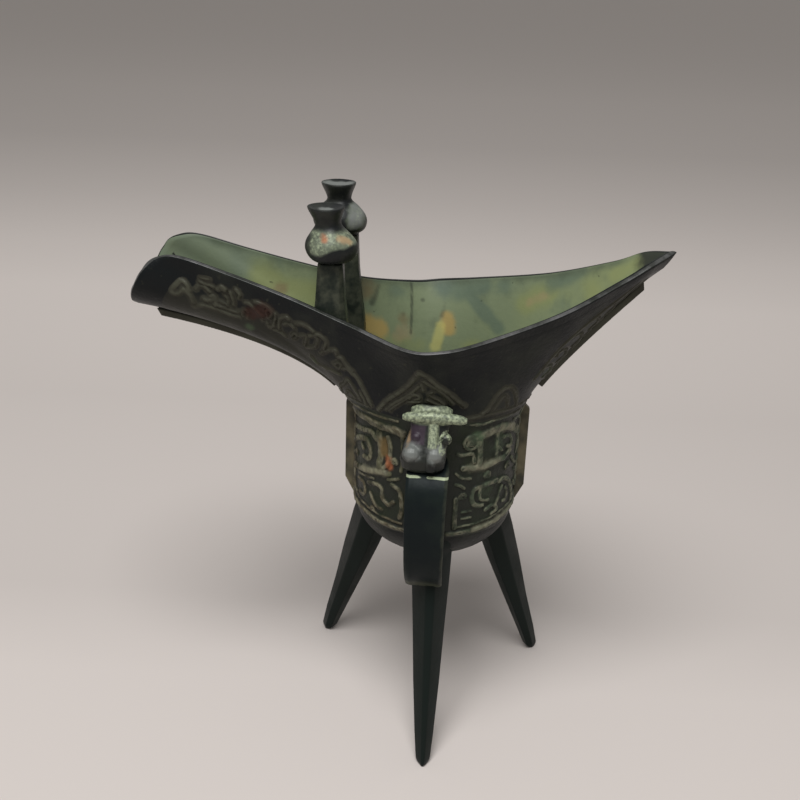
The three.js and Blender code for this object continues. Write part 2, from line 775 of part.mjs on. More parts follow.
cup.add(piece('post_cap_front', postCap(POSTS.front, CAPS.front), BRONZE_PALE, 0.6));
cup.add(piece('post_cap_rear', postCap(POSTS.rear, CAPS.rear), BRONZE, 0.55));

// The origin is under the middle of the cup's box, on the table
const box = new THREE.Box3().setFromObject(cup, true);
cup.position.set(-(box.min.x + box.max.x) / 2, -(box.min.y + box.max.y) / 2, -box.min.z);

export default cup;
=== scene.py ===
"""A bronze wine cup of the jue type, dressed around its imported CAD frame.

Sizes are millimetres in the cup's own frame, as in the CAD source: the axis of the round belly is
the Z axis and the table is z = 0. The function place() turns them into the frame's metres.
"""

import math

import bmesh
import bpy
import numpy as np
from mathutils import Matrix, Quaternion, Vector
from mathutils.bvhtree import BVHTree


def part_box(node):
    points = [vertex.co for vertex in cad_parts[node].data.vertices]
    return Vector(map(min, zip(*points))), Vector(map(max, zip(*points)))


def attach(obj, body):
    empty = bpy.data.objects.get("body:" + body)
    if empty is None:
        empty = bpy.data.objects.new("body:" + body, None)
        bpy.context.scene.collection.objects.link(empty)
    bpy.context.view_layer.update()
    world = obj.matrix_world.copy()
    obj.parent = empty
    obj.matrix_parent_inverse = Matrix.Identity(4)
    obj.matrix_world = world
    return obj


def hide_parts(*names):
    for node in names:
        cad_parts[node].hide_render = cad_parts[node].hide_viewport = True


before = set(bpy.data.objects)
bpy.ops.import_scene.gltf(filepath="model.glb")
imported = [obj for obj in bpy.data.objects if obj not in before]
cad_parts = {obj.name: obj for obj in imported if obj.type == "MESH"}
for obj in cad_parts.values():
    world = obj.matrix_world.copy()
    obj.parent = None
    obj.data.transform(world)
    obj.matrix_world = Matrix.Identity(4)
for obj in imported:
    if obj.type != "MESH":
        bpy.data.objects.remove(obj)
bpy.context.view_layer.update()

# Beaker
BELLY_RADIUS = 29.3
BELLY_LIFT = 65
BOTTOM_DEPTH = 20
BELLY_HEIGHT = 35
WALL = 2.2
LIP_CROWN = 0.45
TIP_START = 58
TIP_DEPTH = 2.2
SHOULDER_Z = BELLY_LIFT + BOTTOM_DEPTH
NECK_Z = SHOULDER_Z + BELLY_HEIGHT

# Where the neck turns outward: reach from the axis and height above the neck ring
SPOUT_TURN = (43, 24.3)
SIDE_TURN = (31, 20)
TAIL_TURN = (32, 13.5)

# Half of the rim: angle round the neck ring, x, half width and height above the neck
RIM = [
    (0, -107.8, 0, 34.6),
    (10, -106.8, 10.9, 39.6),
    (17, -104.4, 16.2, 45.6),
    (23, -100.9, 16.8, 51.4),
    (28, -95.7, 15.6, 55.8),
    (33, -88.2, 16.3, 56.3),
    (41, -70, 18, 51.1),
    (51, -50, 21.9, 45.1),
    (64, -30, 28.7, 39),
    (79, -12, 39.1, 35.3),
    (90, 0, 41.24, 35.8),
    (103, 14, 36.8, 38.2),
    (128, 40, 24.3, 44.9),
    (152, 60, 13.1, 53.1),
    (166, 70.4, 8, 58.4),
    (180, 78.6, 0, 61),
]

# Levels up the wall: -1 the lowest point, 0 the shoulder, 1 the neck ring, 2 the rim
COLUMN_STEP = 1.15
BOTTOM_ROWS = 16
BELLY_ROWS = 10
NECK_ROWS = 60
LIP_ROWS = 6

# Cast relief, on skins that stand this much proud of the wall
SKIN_GROUND = 0.12
SKIN_SINK = 0.45
RELIEF_STEP = 0.42
ROUND_WIDEN = 1.28
SIDE_WIDEN = 1.35
BAND_REACH = 2.4
RELIEF_LIFT = 1.2
SKIN_BACK_STEP = 8
SKIN_FADE_ROWS = 8

# Legs, in the CAD's own terms: share of the lift, reach past the belly, width and depth
LEG_STATIONS = [
    (0, 21.7, 4.8, 5.2),
    (0.17, 17.9, 6.8, 7),
    (0.43, 11.7, 9.2, 9.2),
    (0.74, 4.7, 11.4, 12.6),
    (0.985, -0.7, 13.4, 14),
    (1.29, -8.8, 15.4, 17),
]
LEG_OUTLINE = [(0.5, -0.1), (0.5, 0.1), (-0.08, 0.5), (-0.5, 0.34), (-0.5, -0.34), (-0.08, -0.5)]
LEGS = {
    "leg_front": (-89.6, -0.3, 1.05),
    "leg_rear_left": (143.5, 2.3, 1.1),
    "leg_rear_right": (29.5, 0.5, 1),
}

# Handle
HANDLE_TURN = -93.8
STRAP_THICKNESS = 3
STRAP_ROOT_WIDTH = 11.4
STRAP_WIDTHS = (14.6, 12.8)
STRAP_PATH = [
    (-2.3, 1),
    (5.7, 0.996),
    (11.3, 0.936),
    (14.6, 0.8),
    (15.3, 0.565),
    (13.7, 0.33),
    (10.1, 0.149),
    (3.7, 0),
]
STRAP_TOP_DROP = 7.6
STRAP_FOOT_RISE = 0.5
STRAP_OUTLINE = [
    (-0.5, 0.3),
    (-0.42, 0.46),
    (-0.3, 0.4),
    (0, 0.42),
    (0.3, 0.4),
    (0.42, 0.46),
    (0.5, 0.3),
    (0.5, -0.4),
    (0.44, -0.5),
    (-0.44, -0.5),
    (-0.5, -0.4),
]

# Caps: x, y, rise, radii of drum and disc, and how far the disc leans to the spout
CAPS = {
    "post_cap_front": (-37.3, -17.1, 0, 8.7, 6, 2),
    "post_cap_rear": (-37.7, 17.1, 0.7, 9.5, 6, 0.7),
}
CAP_DRUM_HEIGHT = 10
POST_TOP = 57.7
CAP_HEIGHT = 18
SEAM = 0.3

# Camera: turned about the cup, raised, rolled; its place is in the cup's own frame
CAMERA_AZIMUTH = 1.75
CAMERA_ELEVATION = 23.19
CAMERA_ROLL = 1.92
CAMERA_PLACE = (-2.6, -367.1, 279.1)
FOCAL_PIXELS = 1098.9
PICTURE_SIDE = 800
SENSOR = 36

NEAR_BLACK = (0.0075, 0.009, 0.0095)
DARK_BRONZE = (0.02, 0.0225, 0.018)
POST_DARK = (0.014, 0.019, 0.015)
POST_OLIVE = (0.06, 0.065, 0.046)
SPOUT_OLIVE = (0.062, 0.063, 0.045)
KEEL_OLIVE = (0.044, 0.043, 0.031)
FLANGE_OLIVE = (0.17, 0.15, 0.092)
GROUND_GREEN = (0.017, 0.023, 0.013)
OLIVE_BRONZE = (0.1, 0.1, 0.058)
OLIVE_BROWN = (0.1, 0.084, 0.052)
GREEN_OLIVE = (0.068, 0.085, 0.055)
ORANGE_OLIVE = (0.15, 0.1, 0.038)
WORN_EDGE = (0.24, 0.23, 0.16)
LIP_GREY = (0.15, 0.148, 0.15)
LEG_BLACK = (0.0105, 0.0145, 0.0125)
LEG_BLUE = (0.012, 0.017, 0.0155)
STRAP_BLUE = (0.008, 0.0115, 0.0125)
SAGE = (0.165, 0.2, 0.115)
YELLOW_GREEN = (0.2, 0.225, 0.095)
TEAL_GREEN = (0.078, 0.115, 0.09)
SHADE_GREEN = (0.07, 0.088, 0.055)
SPOUT_GREY = (0.15, 0.185, 0.13)
OCHRE = (0.42, 0.27, 0.07)
BRIGHT_YELLOW = (0.5, 0.46, 0.14)
DUSTY_ROSE = (0.3, 0.22, 0.12)
BROWN_STAIN = (0.16, 0.12, 0.06)
RUST = (0.34, 0.12, 0.05)
RED_BROWN = (0.042, 0.02, 0.015)
VIOLET_BROWN = (0.035, 0.023, 0.034)
VERDIGRIS = (0.09, 0.14, 0.075)
CREAM_GREEN = (0.36, 0.41, 0.27)
# Bare grey metal, also the colour of the painted highlights on the cap tops
GREY_METAL_AND_HIGHLIGHT = (0.165, 0.175, 0.165)
CRUST_GREY = (0.12, 0.14, 0.1)
TAN = (0.36, 0.25, 0.14)

# Floor: distance behind the cup in metres, and how light it is there. These tones are painted light and shade:
# the studio light's falloff with distance, laid into the floor's colour
FLOOR_TINT = (1, 0.915, 0.865)
FLOOR_PAINTED_LIGHT = [
    (0, 0.62),
    (0.06, 0.56),
    (0.15, 0.59),
    (0.28, 0.61),
    (0.5, 0.74),
    (0.64, 0.73),
    (0.85, 0.67),
    (1.2, 0.63),
    (1.7, 0.68),
    (2.6, 0.68),
    (5, 0.69),
]


def cup_axis():
    """The belly's axis in the frame, halfway between its two side flanges."""
    left_low, left_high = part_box("belly_flange_spout")
    right_low, right_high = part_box("belly_flange_tail")
    return Vector(((left_low.x + right_high.x) / 2, (left_low.y + left_high.y) / 2, 0))


AXIS = cup_axis()


def place(points):
    """Millimetres in the cup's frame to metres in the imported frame."""
    return np.asarray(points, float) * 0.001 + np.array(AXIS)


def smooth(points, u):
    """Catmull-Rom curve through points, at parameters u from 0 to 1."""
    points = np.asarray(points, float)
    ends = np.vstack([2 * points[0] - points[1], points, 2 * points[-1] - points[-2]])
    u = np.asarray(u, float) * (len(points) - 1)
    span = np.clip(u.astype(int), 0, len(points) - 2)
    w = (u - span)[:, None]
    p0, p1, p2, p3 = (ends[span + k] for k in range(4))
    m1 = (p2 - p0) / 2
    m2 = (p3 - p1) / 2
    return p1 + m1 * w + (3 * (p2 - p1) - 2 * m1 - m2) * w**2 + (2 * (p1 - p2) + m1 + m2) * w**3


def unit(v):
    return v / np.linalg.norm(v, axis=-1, keepdims=True)


def rim_points(u):
    return smooth([(x, half, NECK_Z + height) for _, x, half, height in RIM], u)


def ring_angles(u):
    return np.radians(smooth([(angle,) for angle, *_ in RIM], u)[:, 0])


def column_places():
    """Parameters of the columns along half the rim, even along both the rim and the neck ring."""
    u = np.linspace(0, 1, 3001)
    rim_step = np.linalg.norm(np.diff(rim_points(u), axis=0), axis=1)
    ring_step = BELLY_RADIUS * np.abs(np.diff(ring_angles(u)))
    travelled = np.concatenate([[0], np.cumsum(np.hypot(rim_step, ring_step))])
    count = int(travelled[-1] / COLUMN_STEP)
    return np.interp(np.linspace(0, travelled[-1], count + 1), travelled, u)


def ribs(u, inset):
    """Start, bend and end of each rib of the neck, moved inward by inset, square to the wall."""
    angle = ring_angles(u)
    ring_out = np.stack([-np.cos(angle), np.sin(angle), 0 * angle], axis=1)
    start = ring_out * (BELLY_RADIUS - inset)
    start[:, 2] = NECK_Z
    to_spout = angle < math.pi / 2
    reach = np.where(to_spout, SPOUT_TURN[0], TAIL_TURN[0])
    height = np.where(to_spout, SPOUT_TURN[1], TAIL_TURN[1])
    rise = SIDE_TURN[1] + (height - SIDE_TURN[1]) * np.cos(angle) ** 2
    bend = np.stack([ring_out[:, 0] * reach, ring_out[:, 1] * SIDE_TURN[0], NECK_Z + rise], axis=1)
    end = rim_points(u)
    climb = unit(end - bend)
    step = 0.002
    ahead = rim_points(np.clip(u + step, 0, 1))
    behind = rim_points(np.clip(u - step, 0, 1))
    along = unit(ahead - behind)
    along[0] = (0, 1, 0)
    along[-1] = (0, -1, 0)
    rim_out = unit(np.cross(climb, along))
    spread = 1 + np.sum(ring_out * rim_out, axis=1, keepdims=True)
    corner = (ring_out + rim_out) * inset / spread
    moved = end - rim_out * inset
    level = np.clip((climb[:, 2:] - 0.3) / 0.18, 0, 1)
    moved = moved + climb * level * (end[:, 2:] - moved[:, 2:]) / climb[:, 2:]
    return start, bend - corner, moved


def blunt_tip(row, share):
    """The underside of the tail made thicker towards its tip, which stays where it is."""
    tip = RIM[-1][1]
    grown = share * TIP_DEPTH * np.clip((row[:, 0] - TIP_START) / (tip - TIP_START), 0, 1) ** 2
    moved = row + grown[:, None] * (0.6, 0, -0.8)
    moved[:, 0] = np.minimum(moved[:, 0], np.maximum(row[:, 0], tip))
    return moved


def wall_rows(u, levels, inset=0):
    """Rows of points of the cup's wall on its far side, one row for each level."""
    start, bend, end = ribs(u, inset)
    rows = []
    for level in levels:
        if level < 0:
            turn = math.pi / 2 * (1 + level)
            row = start * math.sin(turn)
            row[:, 2] = SHOULDER_Z - (BOTTOM_DEPTH - inset) * math.cos(turn)
        elif level <= 1:
            row = start.copy()
            row[:, 2] = SHOULDER_Z + BELLY_HEIGHT * level
        else:
            t = level - 1
            row = start * (1 - t) ** 2 + bend * 2 * t * (1 - t) + end * t**2
            if not inset:
                row = blunt_tip(row, min(1, (2 - level) / 0.05))
        rows.append(row)
    return np.array(rows)


def both_sides(half):
    """A closed round from a half: the near side, then the far side back to the start."""
    return np.concatenate([half * (1, -1, 1), half[:, -2:0:-1]], axis=1)


def wall_grid(inset):
    bottom = np.linspace(-1, 0, BOTTOM_ROWS + 1)[1:-1]
    belly = np.linspace(0, 1, BELLY_ROWS + 1)[:-1]
    neck = np.linspace(1, 2, NECK_ROWS + 1)
    levels = np.concatenate([bottom, belly, neck])
    return both_sides(wall_rows(column_places(), levels, inset))


def lip_rows(outside, inside):
    """Rows over the lip, from the outer to the inner rim, rising to a crown between them."""
    climb = unit(outside[-1] - outside[-2])
    rows = []
    for step in range(1, LIP_ROWS):
        share = step / LIP_ROWS
        rise = LIP_CROWN * math.sin(math.pi * share)
        rows.append(outside[-1] * (1 - share) + inside[-1] * share + climb * rise)
    return np.array(rows)


def make_mesh(name, points, faces, materials, face_materials=None, values=None):
    """A smooth-shaded mesh object from millimetres, riding on the cup."""
    mesh = bpy.data.meshes.new(name)
    mesh.from_pydata(place(points).tolist(), [], faces)
    for material in materials:
        mesh.materials.append(material)
    if face_materials is not None:
        mesh.polygons.foreach_set("material_index", np.asarray(face_materials, np.int32))
    mesh.polygons.foreach_set("use_smooth", [True] * len(mesh.polygons))
    for label, numbers in (values or {}).items():
        layer = mesh.attributes.new(label, "FLOAT", "POINT")
        layer.data.foreach_set("value", np.asarray(numbers, np.float32))
    mesh.update()
    piece = bpy.data.objects.new(name, mesh)
    bpy.context.scene.collection.objects.link(piece)
    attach(piece, "root")
    return piece


def grid_faces(rows, columns):
    """Faces of a tube of rows closed round, without fans at its ends."""
    faces = []
    for row in range(rows - 1):
        for column in range(columns):
            after = (column + 1) % columns
            low = row * columns
            high = low + columns
            faces.append((low + column, low + after, high + after, high + column))
    return faces


def tube(rings, flip=False):
    """Points and faces of a closed lofted body over rings of equal length."""
    rings = np.asarray(rings, float)
    rows, columns = rings.shape[:2]
    points = np.vstack([rings.reshape(-1, 3), rings[0].mean(0), rings[-1].mean(0)])
    faces = grid_faces(rows, columns)
    first = rows * columns
    last = first + 1
    top = (rows - 1) * columns
    for column in range(columns):
        after = (column + 1) % columns
        faces.append((first, after, column))
        faces.append((last, top + column, top + after))
    if flip:
        faces = [face[::-1] for face in faces]
    return points, faces


# Ornament. A stroke is its width, its height and its points. On the round of the cup a point is
# the angle about the axis in degrees and z; on the sides of the spout and the tail it is x and z.
MASK_TAIL_SIDE = [
    (2.6, 0.95, [(-67, 120.2), (-58, 121), (-47, 122), (-37, 121.6), (-26, 119.4), (-17, 116.5)]),
    (1.2, 0.7, [(-17, 116.5), (-13, 113), (-12, 109), (-14.5, 106.8)]),
    (0.7, 0.4, [(-72, 128.2), (-61, 128.8), (-51, 129), (-30, 128.8), (-5, 128.6)]),
    (0.8, 0.45, [(-72, 126.2), (-60, 125.4), (-49, 126), (-30, 125.8), (-5, 125.8)]),
    (1.9, 0.85, [(-60, 119.8), (-59, 113.2), (-59.2, 109.6)]),
    (1.2, 0.8, [(-45.6, 121), (-44.6, 115.5), (-45, 110.6)]),
    (1.2, 0.7, [(-75.5, 114.8), (-72.4, 114.3), (-65, 114.4), (-63.4, 111)]),
    (1.8, 0.95, [(-71, 109.2), (-63, 108.9), (-55, 108.6), (-44, 109.4), (-35, 109.4), (-29.5, 111)]),
    (1.0, 0.7, [(-25.2, 107.3), (-20, 104.6), (-15.3, 103)]),
    (0.9, 0.65, [(-44.1, 115.1), (-39.1, 112.5)]),
    (1.2, 0.8, [(-38, 117.6), (-30, 116.6), (-26.5, 113.8), (-29, 112.4), (-33.5, 113.2)]),
    (0.9, 0.6, [(-76.1, 107.5), (-71, 105.4), (-65.4, 105)]),
    (0.9, 0.6, [(-75.7, 103.2), (-72, 102.4), (-69.7, 101.3)]),
    (
        1.4,
        0.9,
        [
            (-42.4, 101.5),
            (-50.8, 101.3),
            (-57.2, 101),
            (-61.8, 100.2),
            (-63.8, 97.6),
            (-62, 94.7),
            (-58.6, 93.6),
            (-55, 93.5),
        ],
    ),
    (0.95, 0.75, [(-57.6, 100.1), (-57, 96.4), (-54.5, 95.2), (-49.5, 94.8)]),
    (1.1, 0.75, [(-36.3, 98), (-39.6, 94.2), (-42.8, 91.6)]),
    (1.4, 0.9, [(-40.5, 100.6), (-35, 100.8), (-28, 98.8), (-23.3, 95.4), (-20, 91.6), (-21, 89.2)]),
    (1.0, 0.7, [(-31, 96.4), (-28.4, 94), (-30.5, 91.6), (-34, 91.4)]),
    (1.1, 0.75, [(-52, 91.1), (-46.6, 92), (-42, 91), (-41.3, 89.4), (-46, 88.6)]),
    (0.8, 0.7, [(-70.3, 92), (-63.8, 92)]),
    (0.8, 0.7, [(-70.3, 89.6), (-63.8, 89.6)]),
    (1.3, 0.85, [(-75, 97.5), (-75, 92), (-75.2, 86)]),
    (1.4, 0.85, [(-80, 83.6), (-64, 84), (-54.7, 84.4), (-45, 84.8), (-30, 85.6), (-4, 86.6)]),
    (0.7, 0.5, [(-74.4, 86.2), (-60, 86.6), (-45, 87.2), (-30, 88), (-5, 89)]),
    (1.2, 0.8, [(-6.5, 124), (-6.2, 112), (-6.5, 92)]),
    (1.0, 0.7, [(-17, 100.6), (-11.5, 99.6), (-10.5, 95.5), (-14.5, 93.8), (-16.4, 95.6)]),
    (0.9, 0.6, [(-28, 122.8), (-18, 122), (-10, 119.6)]),
]
MASK_TAIL_RINGS = [(-66.4, 118.8, 2.5, 1.0, 0.85), (-66.4, 118.8, 0.9, 1.3, 0.8)]
MASK_TAIL_CURLS = [(-30, 105, 1.7, 0.6), (-51.5, 104.8, 1.6, 0.6), (-70, 98.2, 1.5, 0.55)]

MASK_SPOUT_SIDE = [
    (2.8, 0.95, [(-168, 120.6), (-156, 121.8), (-144, 122.4), (-133, 121.8), (-121, 121.9), (-113, 121)]),
    (1.6, 0.85, [(-170, 114), (-160, 115.2), (-152, 116), (-143, 117.2), (-138.9, 117.2), (-134.6, 115.6)]),
    (
        1.7,
        0.9,
        [(-172, 107.2), (-166, 109.3), (-159.8, 111), (-152, 112.6), (-145.8, 113.2), (-141.7, 111.2)],
    ),
    (1.5, 0.85, [(-141.7, 111.2), (-140.4, 108.4), (-143.5, 106.2), (-149, 106)]),
    (2.2, 0.95, [(-132, 118.5), (-130.5, 114), (-130.2, 109.5), (-132, 105.8)]),
    (1.4, 0.85, [(-124.3, 118), (-122.4, 115.3), (-122.2, 111.5), (-124.4, 107.6), (-128, 105.6)]),
    (1.1, 0.8, [(-153, 110), (-150, 108.9)]),
    (1.8, 0.95, [(-167, 98.6), (-154.2, 100.2), (-140, 102.2), (-131.5, 103.6), (-122.6, 104.2)]),
    (0.8, 0.5, [(-158.5, 97.4), (-144.7, 98.9), (-137, 99.8)]),
    (
        1.3,
        0.85,
        [
            (-142.6, 96.8),
            (-136, 98),
            (-131.2, 98.2),
            (-128.4, 97.2),
            (-127.7, 94),
            (-124.5, 92.4),
            (-121.6, 92.2),
            (-118.8, 93.6),
        ],
    ),
    (1.3, 0.85, [(-120, 100.4), (-114.5, 99), (-112.8, 96.5), (-112.2, 91.3), (-113.5, 88.2)]),
    (1.0, 0.65, [(-123.3, 101.9), (-119, 102.6), (-115.3, 103.3)]),
    (1.4, 0.85, [(-176, 86.4), (-163.3, 85.2), (-143.2, 84.8), (-135, 84.2), (-122.4, 83.8), (-110, 83.6)]),
    (0.7, 0.5, [(-172, 89), (-150, 87.4), (-130, 86.6), (-112, 86)]),
    (1.3, 0.85, [(-168.1, 96.4), (-168.5, 93.4), (-167.2, 91.4), (-164.5, 89.4), (-160.5, 89.2)]),
    (1.1, 0.75, [(-157, 95.6), (-149, 95.4), (-146.5, 92.6), (-150, 90.4), (-155, 90.8)]),
    (1.1, 0.75, [(-140, 93.6), (-134.5, 90), (-128, 89)]),
    (1.1, 0.75, [(-113.2, 119), (-112.6, 112), (-113.4, 106.5)]),
    (1.2, 0.8, [(-174, 123.6), (-173.8, 112), (-174, 92)]),
    (0.8, 0.45, [(-174, 126), (-150, 126), (-132, 125.8), (-116, 125.6)]),
    (0.7, 0.4, [(-174, 128.6), (-150, 128.8), (-137, 128.4)]),
]
MASK_SPOUT_CURLS = [(-163.5, 103.8, 1.6, 0.55), (-118.2, 109.5, 1.5, 0.55), (-137, 87.6, 1.1, 0.5)]

# The triangular leaf above the head and the small ones beside it
LEAF = [
    (1.1, 0.6, [(-100.5, 147.4), (-96, 145.4), (-91, 142.2), (-85, 139.4), (-79, 136), (-73.6, 133.5)]),
    (1.1, 0.6, [(-100.5, 147.4), (-103, 144.8), (-108, 140.6), (-114.8, 136.8), (-122, 133.3), (-129.5, 128.4)]),
    (0.8, 0.5, [(-101.4, 141.4), (-105.5, 138.6), (-112, 135.2), (-118, 132.6), (-123.5, 129.5)]),
    (0.75, 0.45, [(-104.6, 138), (-110.6, 134.7), (-116.5, 132), (-121.4, 129.4)]),
    (0.85, 0.5, [(-98.5, 143.8), (-94, 141.9), (-88.7, 139.6), (-84.7, 137.1), (-81.4, 135)]),
    (0.7, 0.4, [(-99.9, 142.4), (-98.9, 140)]),
    (0.7, 0.5, [(-108.4, 134.3), (-101.5, 135)]),
    (0.7, 0.45, [(-107.3, 135.9), (-104.7, 137.4), (-102, 137.6), (-101.4, 136.4), (-104.2, 135.6)]),
    (0.7, 0.45, [(-96.4, 136), (-92.2, 134.9), (-88.6, 134.2)]),
    (0.7, 0.45, [(-94.1, 139.4), (-95.3, 138.1), (-90, 136.2), (-86.8, 134.6)]),
]
SIDE_LEAVES = [
    (0.9, 0.5, [(-61, 129.6), (-57.4, 131), (-55.4, 133.4), (-53.1, 136.3), (-48.7, 138.8)]),
    (0.9, 0.5, [(-48.7, 138.8), (-44, 138.4), (-39.6, 135.8), (-36, 132.6), (-33, 129.6)]),
    (0.7, 0.4, [(-53, 130.6), (-50.6, 133.4), (-47.6, 135.4), (-44.4, 133.6), (-42, 130.6)]),
    (0.9, 0.45, [(-160, 129.6), (-155, 133), (-149, 135.6), (-145.8, 137.7), (-143.7, 134.1), (-142, 130)]),
    (0.7, 0.4, [(-153.5, 130.4), (-149.4, 132.4), (-146, 130.2)]),
    (1, 0.55, [(-142.9, 142.2), (-139.1, 139.3), (-137.1, 135.3), (-135.4, 131.6), (-134.3, 129.4)]),
    (0.8, 0.5, [(-140, 133.6), (-138.6, 131), (-138.5, 128.2)]),
]

SPOUT_BAND = [
    (1, 0.7, [(-91.4, 164.8), (-90.7, 166.2), (-89.5, 167.6), (-88.1, 168.5), (-86.6, 167.6), (-85.4, 165.2)]),
    (0.95, 0.6, [(-91.3, 164.2), (-90, 163.8), (-88, 164.9), (-87.5, 165.6), (-85.9, 164.1)]),
    (0.95, 0.6, [(-85.4, 163.8), (-85, 162.6), (-84.4, 161)]),
    (0.85, 0.5, [(-81.8, 168.3), (-80.4, 167.8), (-77.7, 167.1), (-77.1, 166.7)]),
    (0.85, 0.55, [(-83.2, 165.7), (-82.5, 166.5), (-81.4, 166.8), (-80.1, 166.4), (-78.6, 164.9)]),
    (0.5, 0.3, [(-81.4, 169.7), (-78.6, 169.6)]),
    (0.85, 0.55, [(-80.8, 162.4), (-79.8, 161.7), (-77.5, 162.2)]),
    (0.8, 0.5, [(-78.4, 163.2), (-77.5, 163.6), (-76.6, 162.6), (-76.7, 160.7), (-77.2, 160.2)]),
    (1.5, 0.6, [(-75.7, 166.1), (-74.4, 167), (-73.4, 166.4)]),
    (0.8, 0.5, [(-75, 161.5), (-74, 160.8)]),
    (0.85, 0.6, [(-73.3, 164.1), (-72.6, 163.1), (-72.5, 161.6), (-72.9, 160.4)]),
    (0.85, 0.6, [(-71.3, 165.4), (-70.7, 163.1), (-70.5, 161.5), (-70.8, 160.6)]),
    (0.85, 0.6, [(-69.4, 166.7), (-68.6, 166), (-68.1, 164.8), (-68.5, 163.7)]),
    (0.7, 0.5, [(-84.2, 159.1), (-82, 159.7), (-80.4, 159.8), (-76.4, 158.6), (-72.2, 156.9), (-68.9, 156.1)]),
    (0.6, 0.4, [(-76.5, 160.1), (-73.4, 159), (-70.2, 157.9), (-69, 158)]),
    (0.8, 0.6, [(-67.8, 156.9), (-67.7, 158.2), (-66.6, 159.2), (-65.8, 158.4), (-66.1, 156)]),
    (0.85, 0.5, [(-66.4, 162.1), (-65, 161.9), (-63, 159.7), (-62, 158)]),
    (0.9, 0.6, [(-63.2, 162.8), (-61.6, 162.6), (-58.7, 161.4), (-57.2, 159.8)]),
    (0.8, 0.5, [(-62.4, 159.4), (-60.7, 157.5), (-60.8, 155.8)]),
    (0.8, 0.6, [(-59.2, 159.5), (-58.5, 160.5), (-57.4, 160.3), (-57.2, 159), (-58.4, 157.1), (-59.2, 159.5)]),
    (0.8, 0.5, [(-56, 159.2), (-56.2, 157), (-57, 154.7)]),
    (0.8, 0.5, [(-59.2, 155.2), (-58.5, 153.3), (-56.7, 154.4)]),
    (0.85, 0.55, [(-54.9, 153.4), (-54.9, 155.4), (-54.4, 157.4), (-52.3, 158.6), (-51.3, 157.9)]),
    (0.8, 0.5, [(-53.1, 155.7), (-51.7, 156.2), (-50.5, 155.6), (-49.6, 154.7)]),
    (0.8, 0.55, [(-56.9, 152.6), (-54.6, 152), (-52.8, 150.5)]),
    (0.75, 0.5, [(-50.6, 151.4), (-49.4, 152.7), (-48.7, 151.5), (-50.2, 150.1)]),
    (0.85, 0.5, [(-48.9, 156.5), (-46.8, 156.8), (-44.4, 155.8), (-42.8, 154.6)]),
    (0.85, 0.5, [(-47.8, 151.9), (-46.1, 152.4), (-45.4, 151.6), (-46.1, 148.6)]),
    (0.9, 0.6, [(-44.2, 152.7), (-42.6, 153.3), (-40.9, 153.7), (-38.5, 151.6), (-39.2, 148.6)]),
    (0.85, 0.55, [(-42, 152.7), (-41.4, 151.9), (-42.5, 148.5), (-45.6, 147.7)]),
    (0.85, 0.5, [(-43.9, 143.9), (-42.9, 141.9), (-40.8, 140.6), (-38.5, 140), (-34, 139.2)]),
    (0.85, 0.55, [(-40.4, 146.4), (-38.7, 147.8), (-35.4, 148.9), (-34.9, 147.5)]),
    (0.8, 0.55, [(-35.8, 143), (-34.4, 144.1), (-33.2, 143.6), (-34.2, 141.7), (-35.8, 143)]),
    (0.85, 0.55, [(-34.3, 146.4), (-33, 146.1), (-31.7, 143.9), (-29.3, 142)]),
    (0.85, 0.5, [(-32.8, 142), (-30.9, 142.5), (-29.2, 140.5)]),
]

TAIL_BAND = [
    (0.9, 0.5, [(36.5, 134.8), (43, 144.3), (49, 151.2), (54.6, 157.7), (62, 165.3), (69, 172.3)]),
    (0.7, 0.4, [(32.5, 139), (40, 150), (48, 157.6), (56, 164), (63.5, 169.6), (69, 173.6)]),
    (0.75, 0.45, [(35.6, 138.2), (38, 140), (38, 142.8), (36, 143.2), (34.9, 141.6)]),
    (0.75, 0.45, [(40, 143.4), (42.8, 145.8), (42.8, 148.6), (40.8, 148.8), (39.6, 147)]),
    (0.75, 0.45, [(45, 149.2), (47.8, 151.8), (47.6, 154.4), (45.6, 154.4)]),
    (0.75, 0.45, [(50.4, 155.2), (53.2, 158), (52.6, 160.4), (50.8, 159.8)]),
    (0.7, 0.4, [(56, 160.6), (59, 163.4), (58.4, 165.2)]),
]


def on_round(angle, height):
    """The point of the outside that faces a direction from the axis."""
    turn = math.radians(angle)
    out = Vector((math.cos(turn), math.sin(turn), 0))
    hit = OUTSIDE.ray_cast(out * 200 + Vector((0, 0, height)), -out)
    return hit[0]


def on_side(x, height, side):
    """The point of the outside that faces square off the line from spout to tail."""
    hit = OUTSIDE.ray_cast(Vector((x, 200 * side, height)), Vector((0, -side, 0)))
    return hit[0]


def stroke_line(points, target):
    """A smooth line through a stroke's points, laid on the cup's outside."""
    points = np.asarray(points, float)
    count = max(2, int(4 * len(points)))
    line = smooth(points, np.linspace(0, 1, count))
    return [target(*point) for point in line]


def ring_line(centre, radii, count=18):
    turns = np.linspace(0, 2 * math.pi, count + 1)
    return [(centre[0] + radii[0] * math.cos(t), centre[1] + radii[1] * math.sin(t)) for t in turns]


def curl_line(centre, radii, turns=1.6, count=16):
    """A small spiral that opens outward."""
    line = []
    for i in range(count + 1):
        share = i / count
        t = 2 * math.pi * turns * share
        size = 0.25 + 0.75 * share
        line.append((centre[0] + radii[0] * size * math.cos(t), centre[1] + radii[1] * size * math.sin(t)))
    return line


